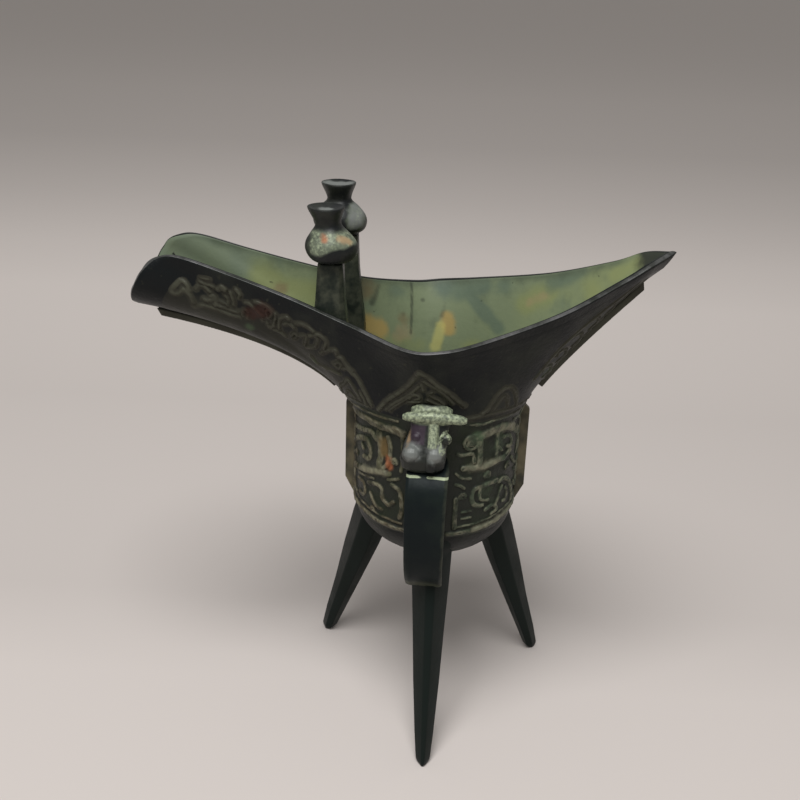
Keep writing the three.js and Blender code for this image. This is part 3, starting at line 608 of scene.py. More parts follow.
def round_strokes():
    """Every stroke on the belly and the neck, all the way round, as lines on the outside."""
    degree = math.degrees(1 / BELLY_RADIUS)
    near_tail = list(MASK_TAIL_SIDE)
    for angle, height, radius, width, rise in MASK_TAIL_RINGS:
        near_tail.append((width, rise, ring_line((angle, height), (radius * degree, radius))))
    for angle, height, radius, rise in MASK_TAIL_CURLS:
        near_tail.append((0.6, rise, curl_line((angle, height), (radius * degree, radius))))
    near_spout = list(MASK_SPOUT_SIDE)
    for angle, height, radius, rise in MASK_SPOUT_CURLS:
        near_spout.append((0.6, rise, curl_line((angle, height), (radius * degree, radius))))
    strokes = near_tail + near_spout + SIDE_LEAVES + LEAF
    for width, rise, points in near_tail:
        strokes.append((width, rise, [(-a, z) for a, z in points]))
        strokes.append((width, rise, [(180 + a, z) for a, z in points]))
    for width, rise, points in SIDE_LEAVES:
        strokes.append((width, rise, [(-a, z) for a, z in points]))
    for width, rise, points in LEAF:
        strokes.append((width, rise, [(-a - 16.5, z) for a, z in points]))
    return [(width * ROUND_WIDEN, rise, stroke_line(points, on_round)) for width, rise, points in strokes]


def side_strokes():
    """Every stroke on the sides of the spout and the tail, as lines on the outside."""
    strokes = SPOUT_BAND + TAIL_BAND
    lines = []
    for side in (-1, 1):
        for width, rise, points in strokes:
            line = stroke_line(points, lambda x, z: on_side(x, z, side))
            lines.append((width * SIDE_WIDEN, rise, line))
    return lines


def gap_to(points, start, end):
    """Distance from each point to a straight piece of line."""
    along = end - start
    share = np.clip((points - start) @ along / max(along @ along, 1e-9), 0, 1)
    return np.linalg.norm(points - start - share[:, None] * along, axis=1)


def wear(points):
    """How much of a ridge is left at each point, from 0.55 to 1: slow waves that never repeat."""
    x, y, z = points.T
    wave = np.sin(1.9 * x + 1.3 * z) + np.sin(2.3 * y - 1.7 * z + 1) + np.sin(1.1 * x - 2.6 * y + 0.8 * z)
    return np.clip(0.82 + 0.12 * wave, 0.55, 1)


def relief_field(points, strokes):
    """Height of the cast ridges at each point, how far up a ridge it is, and how near to one."""
    field = np.zeros(len(points))
    crest = np.zeros(len(points))
    band = np.zeros(len(points))
    for width, rise, line in strokes:
        line = np.array([point for point in line if point is not None])
        reach = max(0.75 * width, BAND_REACH)
        low = line.min(0) - reach
        high = line.max(0) + reach
        near = np.nonzero(np.all((points > low) & (points < high), axis=1))[0]
        if not len(near):
            continue
        here = points[near]
        best = np.full(len(near), np.inf)
        for start, end in zip(line[:-1], line[1:]):
            best = np.minimum(best, gap_to(here, start, end))
        slope = np.clip((0.62 * width - best) / (0.3 * width), 0, 1)
        slope = slope**2 * (3 - 2 * slope)
        crown = 1 - 0.18 * np.clip(best / (0.5 * width), 0, 1) ** 2
        field[near] = np.maximum(field[near], RELIEF_LIFT * rise * slope * crown)
        crest[near] = np.maximum(crest[near], slope)
        band[near] = np.maximum(band[near], np.clip(1 - best / BAND_REACH, 0, 1))
    left = wear(points)
    return field * left, crest * left, band


def spots(points, patches):
    """How strongly soft-edged patches colour each point. A patch is its path, radius and strength."""
    shade = np.zeros(len(points))
    for path, radius, strength in patches:
        path = np.atleast_2d(np.asarray(path, float))
        gap = np.linalg.norm(points - path[0], axis=1)
        for start, end in zip(path[:-1], path[1:]):
            gap = np.minimum(gap, gap_to(points, start, end))
        shade = np.maximum(shade, strength * np.exp(-((gap / radius) ** 2)))
    return shade


def grid_normals(grid, closed):
    """Outward normals of a grid of points on the cup's outside."""
    up = np.gradient(grid, axis=0)
    if closed:
        along = np.roll(grid, -1, axis=1) - np.roll(grid, 1, axis=1)
    else:
        along = np.gradient(grid, axis=1)
    normals = unit(np.cross(along, up))
    middle = grid[len(grid) // 2, grid.shape[1] // 3]
    out = normals[len(grid) // 2, grid.shape[1] // 3]
    if out @ (middle * (0.2, 1, 0)) < 0:
        normals = -normals
    return normals


def relief_skin(name, grid, closed, strokes, material, patches):
    """A thin cast skin over part of the outside: ground and ridges, its edges sunk in the wall."""
    rows, columns = grid.shape[:2]
    normals = grid_normals(grid, closed)
    flat = grid.reshape(-1, 3)
    field, crest, band = relief_field(flat, strokes)
    edge = np.minimum(np.arange(rows), np.arange(rows)[::-1])[:, None] * np.ones(columns)
    if not closed:
        side = np.minimum(np.arange(columns), np.arange(columns)[::-1])
        edge = np.minimum(edge, side)
    fade = np.clip(edge / SKIN_FADE_ROWS, 0, 1).ravel()
    height = (SKIN_GROUND + field) * fade - SKIN_SINK * (1 - fade) ** 4
    outer = flat + normals.reshape(-1, 3) * height[:, None]
    kept = sorted({*range(0, rows, SKIN_BACK_STEP), rows - 1})
    inner = (grid - normals * WALL / 2)[kept]
    points = np.vstack([outer, inner.reshape(-1, 3)])
    faces = []
    last = columns if closed else columns - 1
    for row in range(rows - 1):
        for column in range(last):
            after = (column + 1) % columns
            low = row * columns
            high = low + columns
            faces.append((low + column, low + after, high + after, high + column))
    base = rows * columns
    top = (rows - 1) * columns
    back_top = base + (len(kept) - 1) * columns
    for column in range(last):
        after = (column + 1) % columns
        faces.append((base + column, base + after, after, column))
        faces.append((top + column, top + after, back_top + after, back_top + column))
    for row, (first_row, last_row) in enumerate(zip(kept[:-1], kept[1:])):
        low = base + row * columns
        high = low + columns
        for column in range(last):
            after = (column + 1) % columns
            faces.append((high + column, high + after, low + after, low + column))
        if not closed:
            left = [step * columns for step in range(first_row, last_row + 1)]
            right = [point + columns - 1 for point in reversed(left)]
            faces.append((*left, high, low))
            faces.append((*right, low + columns - 1, high + columns - 1))
    zeros = np.zeros(len(kept) * columns)
    values = {"relief": np.concatenate([crest, zeros]), "band": np.concatenate([band, zeros])}
    for label, places in patches.items():
        values[label] = np.concatenate([spots(flat, places), zeros])
    piece = make_mesh(name, points, faces, [material], values=values)
    face_out(piece)
    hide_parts("cup_body")
    return piece


def add(tree, kind, **settings):
    made = tree.nodes.new(kind)
    for name, value in settings.items():
        setattr(made, name, value)
    return made


def connect(tree, source, target):
    tree.links.new(source, target)


def feed(tree, socket, value):
    """A socket's value: another node's output, or a plain number or colour."""
    if isinstance(value, bpy.types.NodeSocket):
        tree.links.new(value, socket)
    elif isinstance(value, tuple) and len(value) == 3 and socket.type == "RGBA":
        socket.default_value = (*value, 1)
    else:
        socket.default_value = value


def object_place(tree, stretch=(1, 1, 1)):
    """Object coordinates in metres, stretched for streaks."""
    coordinates = add(tree, "ShaderNodeTexCoord")
    mapping = add(tree, "ShaderNodeMapping")
    mapping.inputs["Scale"].default_value = stretch
    connect(tree, coordinates.outputs["Object"], mapping.inputs["Vector"])
    return mapping.outputs["Vector"]


def noise(tree, scale, detail=4, roughness=0.55, stretch=(1, 1, 1), seed=0):
    made = add(tree, "ShaderNodeTexNoise", noise_dimensions="4D")
    connect(tree, object_place(tree, stretch), made.inputs["Vector"])
    made.inputs["W"].default_value = seed
    made.inputs["Scale"].default_value = scale
    made.inputs["Detail"].default_value = detail
    made.inputs["Roughness"].default_value = roughness
    return made.outputs["Fac"]


def window(tree, value, low, high):
    """0 below low, 1 above high, smooth between."""
    made = add(tree, "ShaderNodeMapRange", interpolation_type="SMOOTHSTEP")
    feed(tree, made.inputs["Value"], value)
    made.inputs["From Min"].default_value = low
    made.inputs["From Max"].default_value = high
    return made.outputs["Result"]


def blend(tree, share, first, second):
    made = add(tree, "ShaderNodeMix", data_type="RGBA")
    feed(tree, made.inputs[0], share)
    feed(tree, made.inputs[6], first)
    feed(tree, made.inputs[7], second)
    return made.outputs[2]


def times(tree, first, second):
    made = add(tree, "ShaderNodeMath", operation="MULTIPLY")
    feed(tree, made.inputs[0], first)
    feed(tree, made.inputs[1], second)
    return made.outputs[0]


def new_material(name, gloss=0.5, metal=0.0):
    material = bpy.data.materials.new(name)
    material.use_nodes = True
    shader = material.node_tree.nodes["Principled BSDF"]
    shader.inputs["Specular IOR Level"].default_value = gloss
    shader.inputs["Metallic"].default_value = metal
    return material, material.node_tree, shader


def roughen(tree, shader, low, high, scale):
    rough = add(tree, "ShaderNodeMapRange")
    feed(tree, rough.inputs["Value"], noise(tree, scale, seed=7))
    rough.inputs["From Min"].default_value = 0.3
    rough.inputs["From Max"].default_value = 0.7
    rough.inputs["To Min"].default_value = low
    rough.inputs["To Max"].default_value = high
    connect(tree, rough.outputs["Result"], shader.inputs["Roughness"])


def pit(tree, shader, scale, depth_mm, detail=5):
    """Fine cast pitting as bump."""
    bump = add(tree, "ShaderNodeBump")
    bump.inputs["Strength"].default_value = 1
    bump.inputs["Distance"].default_value = depth_mm * 0.001
    connect(tree, noise(tree, scale, detail, 0.6, seed=3), bump.inputs["Height"])
    connect(tree, bump.outputs["Normal"], shader.inputs["Normal"])


def value_of(tree, label):
    """A number kept on the mesh's points, 0 where a piece has none."""
    return add(tree, "ShaderNodeAttribute", attribute_name=label).outputs["Fac"]


def broken(tree, label, scale, seed, low=0.3, high=0.62, swing=0.6):
    """A patch kept on the mesh's points, its edge broken up by noise."""
    made = add(tree, "ShaderNodeMath", operation="MULTIPLY_ADD")
    feed(tree, made.inputs[0], noise(tree, scale, 4, seed=seed))
    made.inputs[1].default_value = swing
    made.inputs[2].default_value = -swing / 2
    total = add(tree, "ShaderNodeMath", operation="ADD")
    feed(tree, total.inputs[0], value_of(tree, label))
    feed(tree, total.inputs[1], made.outputs[0])
    return window(tree, total.outputs[0], low, high)


def tinted(tree, colour, label, scale, seed, strength, tint):
    """A colour with one of the mesh's broken patches laid over it."""
    return blend(tree, times(tree, broken(tree, label, scale, seed), strength), colour, tint)


def stained(tree, colour, label, scale, seed, strength, tint):
    """The same with a soft, watery edge."""
    patch = broken(tree, label, scale, seed, 0.2, 0.95, 1.1)
    return blend(tree, times(tree, patch, strength), colour, tint)


def edges_of(tree, crest):
    """The shoulders of the ridges, where casting wears first."""
    inner = add(tree, "ShaderNodeMath", operation="SUBTRACT")
    feed(tree, inner.inputs[0], window(tree, crest, 0.35, 0.75))
    feed(tree, inner.inputs[1], window(tree, crest, 0.8, 1))
    return inner.outputs[0]


def to_tail(tree, low, high):
    """0 towards the spout, 1 towards the tail, between two places along the cup in metres."""
    parts = add(tree, "ShaderNodeSeparateXYZ")
    connect(tree, object_place(tree), parts.inputs["Vector"])
    return window(tree, parts.outputs["X"], low, high)


def cup_bronze():
    """Outside of the cup: near black, with olive wear on whatever stands proud."""
    material, tree, shader = new_material("cup_bronze", 0.14, 0.1)
    cloud = window(tree, noise(tree, 38, seed=1), 0.42, 0.64)
    speck = window(tree, noise(tree, 420, 3, seed=2), 0.62, 0.74)
    proud = window(tree, value_of(tree, "relief"), 0.15, 0.7)
    worn = times(tree, proud, window(tree, noise(tree, 190, 4, seed=3), 0.25, 0.6))
    tint = window(tree, noise(tree, 30, 3, seed=4), 0.4, 0.6)
    olive = blend(tree, tint, SPOUT_OLIVE, KEEL_OLIVE)
    colour = blend(tree, cloud, NEAR_BLACK, DARK_BRONZE)
    colour = blend(tree, times(tree, speck, 0.2), colour, OLIVE_BRONZE)
    colour = stained(tree, colour, "olive", 120, 8, 0.5, KEEL_OLIVE)
    colour = tinted(tree, colour, "band", 420, 9, 0.8, KEEL_OLIVE)
    colour = blend(tree, worn, colour, olive)
    colour = stained(tree, colour, "green", 260, 5, 0.6, VERDIGRIS)
    colour = stained(tree, colour, "red", 220, 6, 0.9, RED_BROWN)
    connect(tree, colour, shader.inputs["Base Color"])
    roughen(tree, shader, 0.36, 0.52, 90)
    pit(tree, shader, 560, 0.25)
    return material


def band_bronze():
    """Belly band: olive where proud, greener towards the tail, dark green in the hollows."""
    material, tree, shader = new_material("band_bronze", 0.18, 0.1)
    cloud = window(tree, noise(tree, 60, seed=11), 0.42, 0.62)
    crest = value_of(tree, "relief")
    proud = window(tree, crest, 0.1, 0.6)
    worn = times(tree, proud, window(tree, noise(tree, 330, 5, seed=13), 0.32, 0.6))
    tint = window(tree, noise(tree, 26, 3, seed=14), 0.42, 0.58)
    olive = blend(tree, tint, OLIVE_BRONZE, OLIVE_BROWN)
    olive = blend(tree, to_tail(tree, 0.008, 0.026), olive, GREEN_OLIVE)
    edges = times(tree, edges_of(tree, crest), window(tree, noise(tree, 240, 4, seed=12), 0.42, 0.6))
    colour = blend(tree, cloud, DARK_BRONZE, GROUND_GREEN)
    colour = blend(tree, times(tree, worn, 0.9), colour, olive)
    colour = blend(tree, times(tree, edges, 0.6), colour, WORN_EDGE)
    colour = stained(tree, colour, "green", 260, 15, 0.6, VERDIGRIS)
    colour = stained(tree, colour, "pale", 300, 18, 0.7, WORN_EDGE)
    colour = stained(tree, colour, "ochre", 240, 16, 0.9, ORANGE_OLIVE)
    colour = stained(tree, colour, "rust", 320, 17, 0.85, RUST)
    connect(tree, colour, shader.inputs["Base Color"])
    roughen(tree, shader, 0.36, 0.54, 120)
    pit(tree, shader, 620, 0.3)
    return material


def plain_bronze(name, dark, light, gloss, scale, stretch=1):
    """Bronze without stains: two tones in clouds, and fine pitting."""
    material, tree, shader = new_material(name, gloss, 0.1)
    cloud = window(tree, noise(tree, scale, stretch=(1, 1, stretch), seed=21), 0.36, 0.66)
    connect(tree, blend(tree, cloud, dark, light), shader.inputs["Base Color"])
    roughen(tree, shader, 0.32, 0.5, 100)
    pit(tree, shader, 600, 0.08)
    return material


def strap_bronze():
    """The strap: blue-black, greener at its foot, with a cream line under the muzzle that is a painted
    highlight.
    """
    material, tree, shader = new_material("strap_bronze", 0.08, 0.1)
    cloud = window(tree, noise(tree, 70, seed=25), 0.4, 0.65)
    colour = blend(tree, cloud, STRAP_BLUE, LEG_BLUE)
    colour = stained(tree, colour, "green", 200, 26, 0.8, POST_OLIVE)
    # The cream line is a painted highlight on the strap's top edge.
    colour = tinted(tree, colour, "cream", 300, 27, 0.9, CREAM_GREEN)
    connect(tree, colour, shader.inputs["Base Color"])
    roughen(tree, shader, 0.32, 0.5, 120)
    pit(tree, shader, 500, 0.08)
    return material


def lip_bronze():
    material, tree, shader = new_material("lip_bronze", 0.3, 0.2)
    worn = window(tree, noise(tree, 70, 5, 0.7, seed=31), 0.36, 0.72)
    colour = blend(tree, worn, DARK_BRONZE, LIP_GREY)
    connect(tree, colour, shader.inputs["Base Color"])
    roughen(tree, shader, 0.3, 0.45, 200)
    pit(tree, shader, 600, 0.06)
    return material


def inside_patina():
    """Inside: pale sage crust with stains where the patches kept on the mesh say so."""
    material, tree, shader = new_material("inside_patina", 0.25)
    broad = window(tree, noise(tree, 17, 3, stretch=(1, 1, 1.4), seed=41), 0.42, 0.62)
    streak = window(tree, noise(tree, 45, 3, stretch=(1.6, 1.6, 0.35), seed=42), 0.5, 0.68)
    mottle = window(tree, noise(tree, 110, 5, seed=43), 0.48, 0.7)
    speck = window(tree, noise(tree, 260, 2, seed=45), 0.69, 0.75)
    colour = blend(tree, times(tree, broad, 0.6), SAGE, YELLOW_GREEN)
    colour = blend(tree, times(tree, streak, 0.6), colour, TEAL_GREEN)
    colour = blend(tree, times(tree, mottle, 0.4), colour, SHADE_GREEN)
    colour = stained(tree, colour, "grey", 70, 51, 0.8, SPOUT_GREY)
    colour = stained(tree, colour, "yellow", 110, 52, 0.85, YELLOW_GREEN)
    colour = stained(tree, colour, "teal", 110, 46, 0.6, TEAL_GREEN)
    colour = stained(tree, colour, "shade", 110, 47, 0.85, SHADE_GREEN)
    colour = stained(tree, colour, "rose", 200, 48, 0.45, DUSTY_ROSE)
    colour = stained(tree, colour, "brown", 200, 53, 0.7, BROWN_STAIN)
    colour = stained(tree, colour, "ochre", 160, 49, 0.6, OCHRE)
    colour = stained(tree, colour, "bright", 160, 54, 0.5, BRIGHT_YELLOW)
    colour = stained(tree, colour, "drip", 200, 55, 0.6, DARK_BRONZE)
    colour = stained(tree, colour, "dark", 160, 50, 0.95, DARK_BRONZE)
    colour = blend(tree, speck, colour, NEAR_BLACK)
    connect(tree, colour, shader.inputs["Base Color"])
    roughen(tree, shader, 0.45, 0.65, 60)
    pit(tree, shader, 450, 0.1)
    return material


def worn_bronze():
    """The ox head and the caps: pale green crust and bare grey metal over dark bronze, with painted highlights
    in grey on the cap tops.
    """
    material, tree, shader = new_material("worn_bronze", 0.3, 0.1)
    cloud = window(tree, noise(tree, 120, seed=50), 0.42, 0.62)
    crumb = window(tree, noise(tree, 1000, 4, seed=51), 0.36, 0.66)
    colour = blend(tree, cloud, NEAR_BLACK, DARK_BRONZE)
    colour = stained(tree, colour, "violet", 240, 52, 0.9, VIOLET_BROWN)
    colour = stained(tree, colour, "crust", 300, 57, 1.0, CRUST_GREY)
    # Grey: bare metal on the ox head and crust on the far drum; on the cap tops it is a painted highlight.
    colour = stained(tree, colour, "grey", 450, 53, 1.0, GREY_METAL_AND_HIGHLIGHT)
    crust = times(tree, broken(tree, "cream", 500, 54), crumb)
    colour = blend(tree, crust, colour, CREAM_GREEN)
    colour = stained(tree, colour, "ochre", 300, 55, 0.9, TAN)
    colour = stained(tree, colour, "rust", 260, 56, 0.95, RUST)
    connect(tree, colour, shader.inputs["Base Color"])
    roughen(tree, shader, 0.36, 0.55, 150)
    pit(tree, shader, 600, 0.12)
    return material


def cup_vessel(outside_material, lip_material, inside_material):
    outside = wall_grid(0)
    inside = wall_grid(WALL)
    lip = lip_rows(outside, inside)
    rings = np.concatenate([outside, lip, inside[::-1]])
    columns = rings.shape[1]
    points, faces = tube(rings, flip=True)
    points[-2] = (0, 0, BELLY_LIFT)
    points[-1] = (0, 0, BELLY_LIFT + WALL)
    lip_start = (len(outside) - 1) * columns
    lip_light = 4 * columns
    lip_dark = 2 * columns
    body = len(faces) - 2 * columns
    zones = [0] * lip_start + [1] * lip_light + [0] * lip_dark
    zones += [2] * (body - len(zones))
    zones += [0, 2] * columns
    materials = [outside_material, lip_material, inside_material]
    piece = make_mesh("vessel", points, faces, materials, zones, inside_shade(points))
    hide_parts("cup_body")
    return piece


def rounded(outline, cut, steps=4):
    """A closed outline with each corner taken off by a curve that starts cut before it."""
    outline = np.asarray(outline, float)
    points = []
    for before, corner, after in zip(np.roll(outline, 1, axis=0), outline, np.roll(outline, -1, axis=0)):
        back = before - corner
        ahead = after - corner
        start = corner + back * min(0.45, cut / np.linalg.norm(back))
        end = corner + ahead * min(0.45, cut / np.linalg.norm(ahead))
        for t in np.linspace(0, 1, steps + 1):
            points.append(start * (1 - t) ** 2 + corner * 2 * t * (1 - t) + end * t**2)
    return np.array(points)


def turned(points, degrees):
    turn = math.radians(degrees)
    c, s = math.cos(turn), math.sin(turn)
    return np.asarray(points) @ np.array([(c, s, 0), (-s, c, 0), (0, 0, 1)])


def kept_out(points, depth=0.6):
    """Points that would reach into the cup's hollow, pushed back into its wall."""
    shape = points.shape
    points = points.reshape(-1, 3).copy()
    level = np.array([BELLY_RADIUS - depth, BELLY_RADIUS - depth, BOTTOM_DEPTH - depth])
    from_middle = points - (0, 0, SHOULDER_Z)
    low = np.linalg.norm(from_middle / level, axis=1)
    reach = np.linalg.norm(points[:, :2], axis=1)
    in_bowl = (points[:, 2] < SHOULDER_Z) & (low < 1)
    points[in_bowl] = (from_middle / low[:, None] + (0, 0, SHOULDER_Z))[in_bowl]
    in_belly = (points[:, 2] >= SHOULDER_Z) & (reach < BELLY_RADIUS - depth)
    points[in_belly, :2] *= ((BELLY_RADIUS - depth) / np.maximum(reach, 1e-6))[in_belly, None]
    return points.reshape(shape)


def leg(name, material):
    turn, outward, widen = LEGS[name]
    outline = rounded(LEG_OUTLINE, 0.07)
    shares = np.array([station[0] for station in LEG_STATIONS])
    others = np.array([station[1:] for station in LEG_STATIONS])
    rings = []
    for share in np.linspace(0, shares[-1], 90):
        past, width, depth = (np.interp(share, shares, column) for column in others.T)
        height = share * BELLY_LIFT
        worn = math.sqrt(1 - 0.6 * max(0, 1 - height / 2.4) ** 2)
        x = BELLY_RADIUS + past + outward + outline[:, 0] * depth * widen * worn
        y = outline[:, 1] * width * widen * worn
        rings.append(np.stack([x, y, np.full(len(x), height)], axis=1))
    rings = kept_out(turned(np.array(rings), turn))
    points, faces = tube(rings)
    piece = make_mesh(name + "_fine", points, faces, [material])
    face_out(piece)
    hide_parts(name)


def face_out(piece):
    bm = bmesh.new()
    bm.from_mesh(piece.data)
    bmesh.ops.recalc_face_normals(bm, faces=bm.faces)
    bm.to_mesh(piece.data)
    bm.free()


def strap(material):
    outline = rounded(STRAP_OUTLINE, 0.05, 3)
    foot = BELLY_LIFT + STRAP_FOOT_RISE
    climb = NECK_Z - STRAP_TOP_DROP - foot
    path = [(BELLY_RADIUS + past, foot + share * climb) for past, share in STRAP_PATH]
    t = np.linspace(0, 1, 110)
    line = smooth(path, t)
    tangent = unit(np.gradient(line, axis=0))
    rings = []
    for share, (reach, z), (run, rise) in zip(t, line, tangent):
        root = min(share / 0.2, 1) ** 2 * (3 - 2 * min(share / 0.2, 1))
        low = STRAP_ROOT_WIDTH + (STRAP_WIDTHS[0] - STRAP_ROOT_WIDTH) * root
        width = low + (STRAP_WIDTHS[1] - low) * share
        end = min(share, 1 - share) * 60
        worn = 1 - 0.18 * max(0, 1 - end) ** 2
        through = outline[:, 1] * STRAP_THICKNESS * worn
        x = reach - rise * through
        z = z + run * through
        rings.append(np.stack([x, outline[:, 0] * width * worn, z], axis=1))
    rings = kept_out(turned(np.array(rings), HANDLE_TURN))
    points, faces = tube(rings)
    piece = make_mesh("handle_strap_fine", points, faces, [material], values=strap_shade(points))
    face_out(piece)
    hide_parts("handle_strap")


def strap_shade(points):
    """Patches on the strap, in its own frame: its foot, and a painted highlight line where it leaves the muzzle.
    """
    local = turned(points, -HANDLE_TURN)
    y, z = local[:, 1], local[:, 2] - NECK_Z
    outer = np.clip((local[:, 0] - BELLY_RADIUS - 3) / 2, 0, 1)
    # A painted highlight: a thin cream line on the strap's top edge under the muzzle.
    line = np.exp(-(((z + 8.7) / 0.35) ** 2)) * np.clip(np.abs(y + 1.5) - 0.8, 0, 1) * outer
    foot = np.clip((BELLY_LIFT + 7 - local[:, 2]) / 5, 0, 1)
    side = 0.6 * np.clip((y - 5.2) / 1.2, 0, 1)
    return {"cream": line, "green": np.maximum(foot, side)}


def recast(node, voxel, steps, material, shade=None, name=None):
    """A finer piece from a CAD solid: its edges worn round, as on a casting."""
    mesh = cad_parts[node].data.copy()
    mesh.materials.clear()
    piece = bpy.data.objects.new(name or node + "_fine", mesh)
    bpy.context.scene.collection.objects.link(piece)
    remesh = piece.modifiers.new("remesh", "REMESH")
    remesh.mode = "VOXEL"
    remesh.voxel_size = voxel * 0.001
    relax = piece.modifiers.new("relax", "SMOOTH")
    relax.factor = 0.5
    relax.iterations = steps
    fine = bpy.data.meshes.new_from_object(piece.evaluated_get(bpy.context.evaluated_depsgraph_get()))
    piece.modifiers.clear()
    piece.data = fine
    fine.name = piece.name
    fine.materials.clear()
    fine.materials.append(material)
    fine.polygons.foreach_set("use_smooth", [True] * len(fine.polygons))
    if shade:
        places = np.empty(3 * len(fine.vertices))
        fine.vertices.foreach_get("co", places)
        points = (places.reshape(-1, 3) - np.array(AXIS)) * 1000
        for label, numbers in shade(points).items():
            layer = fine.attributes.new(label, "FLOAT", "POINT")
            layer.data.foreach_set("value", np.asarray(numbers, np.float32))
    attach(piece, "root")
    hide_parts(node)
    return piece


def soft_box(points, low, high, edge):
    """1 inside a box, falling to 0 within edge of its sides."""
    inside = np.minimum(points - np.array(low), np.array(high) - points).min(axis=1)
    return np.clip(inside / edge + 0.5, 0, 1)


def head_shade(points):
    """Patches on the ox head, in its own frame: outward, towards the tail, above the neck ring."""
    local = turned(points, -HANDLE_TURN)
    local[:, 2] -= NECK_Z
    y, z = local[:, 1], local[:, 2]
    bar = soft_box(local[:, 1:], (-9.8, 8.7), (12.4, 14.2), 1.2)
    ridge = soft_box(local[:, 1:], (-0.5, 2), (3.1, 9.5), 0.9)
    drop = soft_box(local[:, 1:], (6, -3), (8, 1.4), 1)
    eye = np.exp(-(((np.hypot(y - 5.3, (z - 3.4) * 0.6) - 1.7) / 0.6) ** 2))
    left_lobe = np.exp(-(((y + 5.4) / 3.4) ** 2 + ((z - 0.4) / 3) ** 2))
    right_lobe = np.exp(-(((y - 2.4) / 3.2) ** 2 + ((z - 0.2) / 3.2) ** 2))
    cheek = soft_box(local[:, 1:], (-7.4, 2.6), (-1.4, 8.6), 1)
    orange = np.exp(-(((y + 7.4) / 1.5) ** 2 + ((z - 4.2) / 2.6) ** 2))
    return {
        "cream": np.maximum.reduce([0.62 * bar, 0.6 * ridge, 0.9 * drop, 0.9 * eye]),
        "crust": 1.3 * np.maximum(bar, ridge),
        "grey": 1.2 * np.maximum(left_lobe, right_lobe),
        "violet": cheek,
        "ochre": 0.9 * orange,
    }


def cap(name, material, shade):
    """A waisted cap: a drum that swells, draws in and opens to a dished disc."""
    x, y, rise, drum, disc, lean = CAPS[name]
    profile = [
        (0, 0),
        (4.6, 0),
        (0.86 * drum, 1.3),
        (drum, 4),
        (0.95 * drum, 6.8),
        (0.72 * drum, 9.6),
        (4.5, 11.76),
        (4.5, 13.6),
        (disc, 17.28),
        (0.93 * disc, 18),
        (0.68 * disc, 17.6),
        (0, 16.9),
    ]
    line = smooth(profile, np.linspace(0, 1, 90))
    line[:, 0] = np.clip(line[:, 0], 0, None)
    line[:, 1] = np.clip(line[:, 1], 0, CAP_HEIGHT)
    base = NECK_Z + POST_TOP + rise + SEAM
    turns = np.linspace(0, 2 * math.pi, 73)[:-1]
    rings = []
    for radius, height in line[1:-1]:
        share = min(max((height - CAP_DRUM_HEIGHT / 2) / (CAP_HEIGHT - CAP_DRUM_HEIGHT / 2), 0), 1)
        middle = x - lean * share**2 * (3 - 2 * share)
        lump = 1 + 0.025 * np.cos(3 * turns + 0.25 * height) + 0.015 * np.sin(5 * turns - 0.4 * height)
        across = middle + radius * lump * np.cos(turns)
        through = y + radius * lump * np.sin(turns)
        rings.append(np.stack([across, through, np.full(len(turns), base + height)], axis=1))
    points, faces = tube(rings)
    piece = make_mesh(name + "_fine", points, faces, [material], values=shade(points))
    face_out(piece)
    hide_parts(name)


def near_cap_shade(points):
    base = NECK_Z + POST_TOP
    x, height = points[:, 0], points[:, 2] - base
    drum = np.clip((height - 1.4) / 2, 0, 1) * np.clip((12.4 - height) / 2, 0, 1)
    left = np.clip((x + 45.5) / 2, 0, 1)
    right = np.clip((height - 4.4 - 0.2 * np.clip(x + 38, 0, 9)) / 1.4 + np.clip((-37 - x) / 3, 0, 1), 0, 1)
    return {
        "crust": 0.75 * drum * left * right,
        "cream": 0.45 * drum * left * right,
        # Grey in the dish of the disc on top is a painted highlight.
        "grey": spots(points, [((-39.3, -18, base + 17.4), 2.4, 1.6)]),
        "rust": spots(points, [([(-39.8, -23.8, base + 10.4), (-39.4, -24.6, base + 9.6)], 1.8, 1.1)]),
        "ochre": spots(points, [([(-33.8, -23.8, base + 9.7), (-31.2, -22.4, base + 9)], 2, 1.1)]),
    }


def far_cap_shade(points):
    base = NECK_Z + POST_TOP
    height = points[:, 2] - base
    side = np.clip((points[:, 0] + 36) / 3, 0, 1) * np.clip((-27.5 - points[:, 0]) / 2.5, 0, 1)
    drum = np.clip((height - 3) / 2, 0, 1) * np.clip((13.5 - height) / 2, 0, 1)
    # A painted highlight: a grey patch across the dish of the disc, standing in for its reflection of the light.
    painted_highlight = spots(points, [([(-41, 17, base + 18.2), (-36, 17, base + 18.2)], 3, 1.6)])
    return {"crust": drum * side, "cream": 0.34 * drum * side, "grey": np.maximum(painted_highlight, 0.8 * drum * side)}


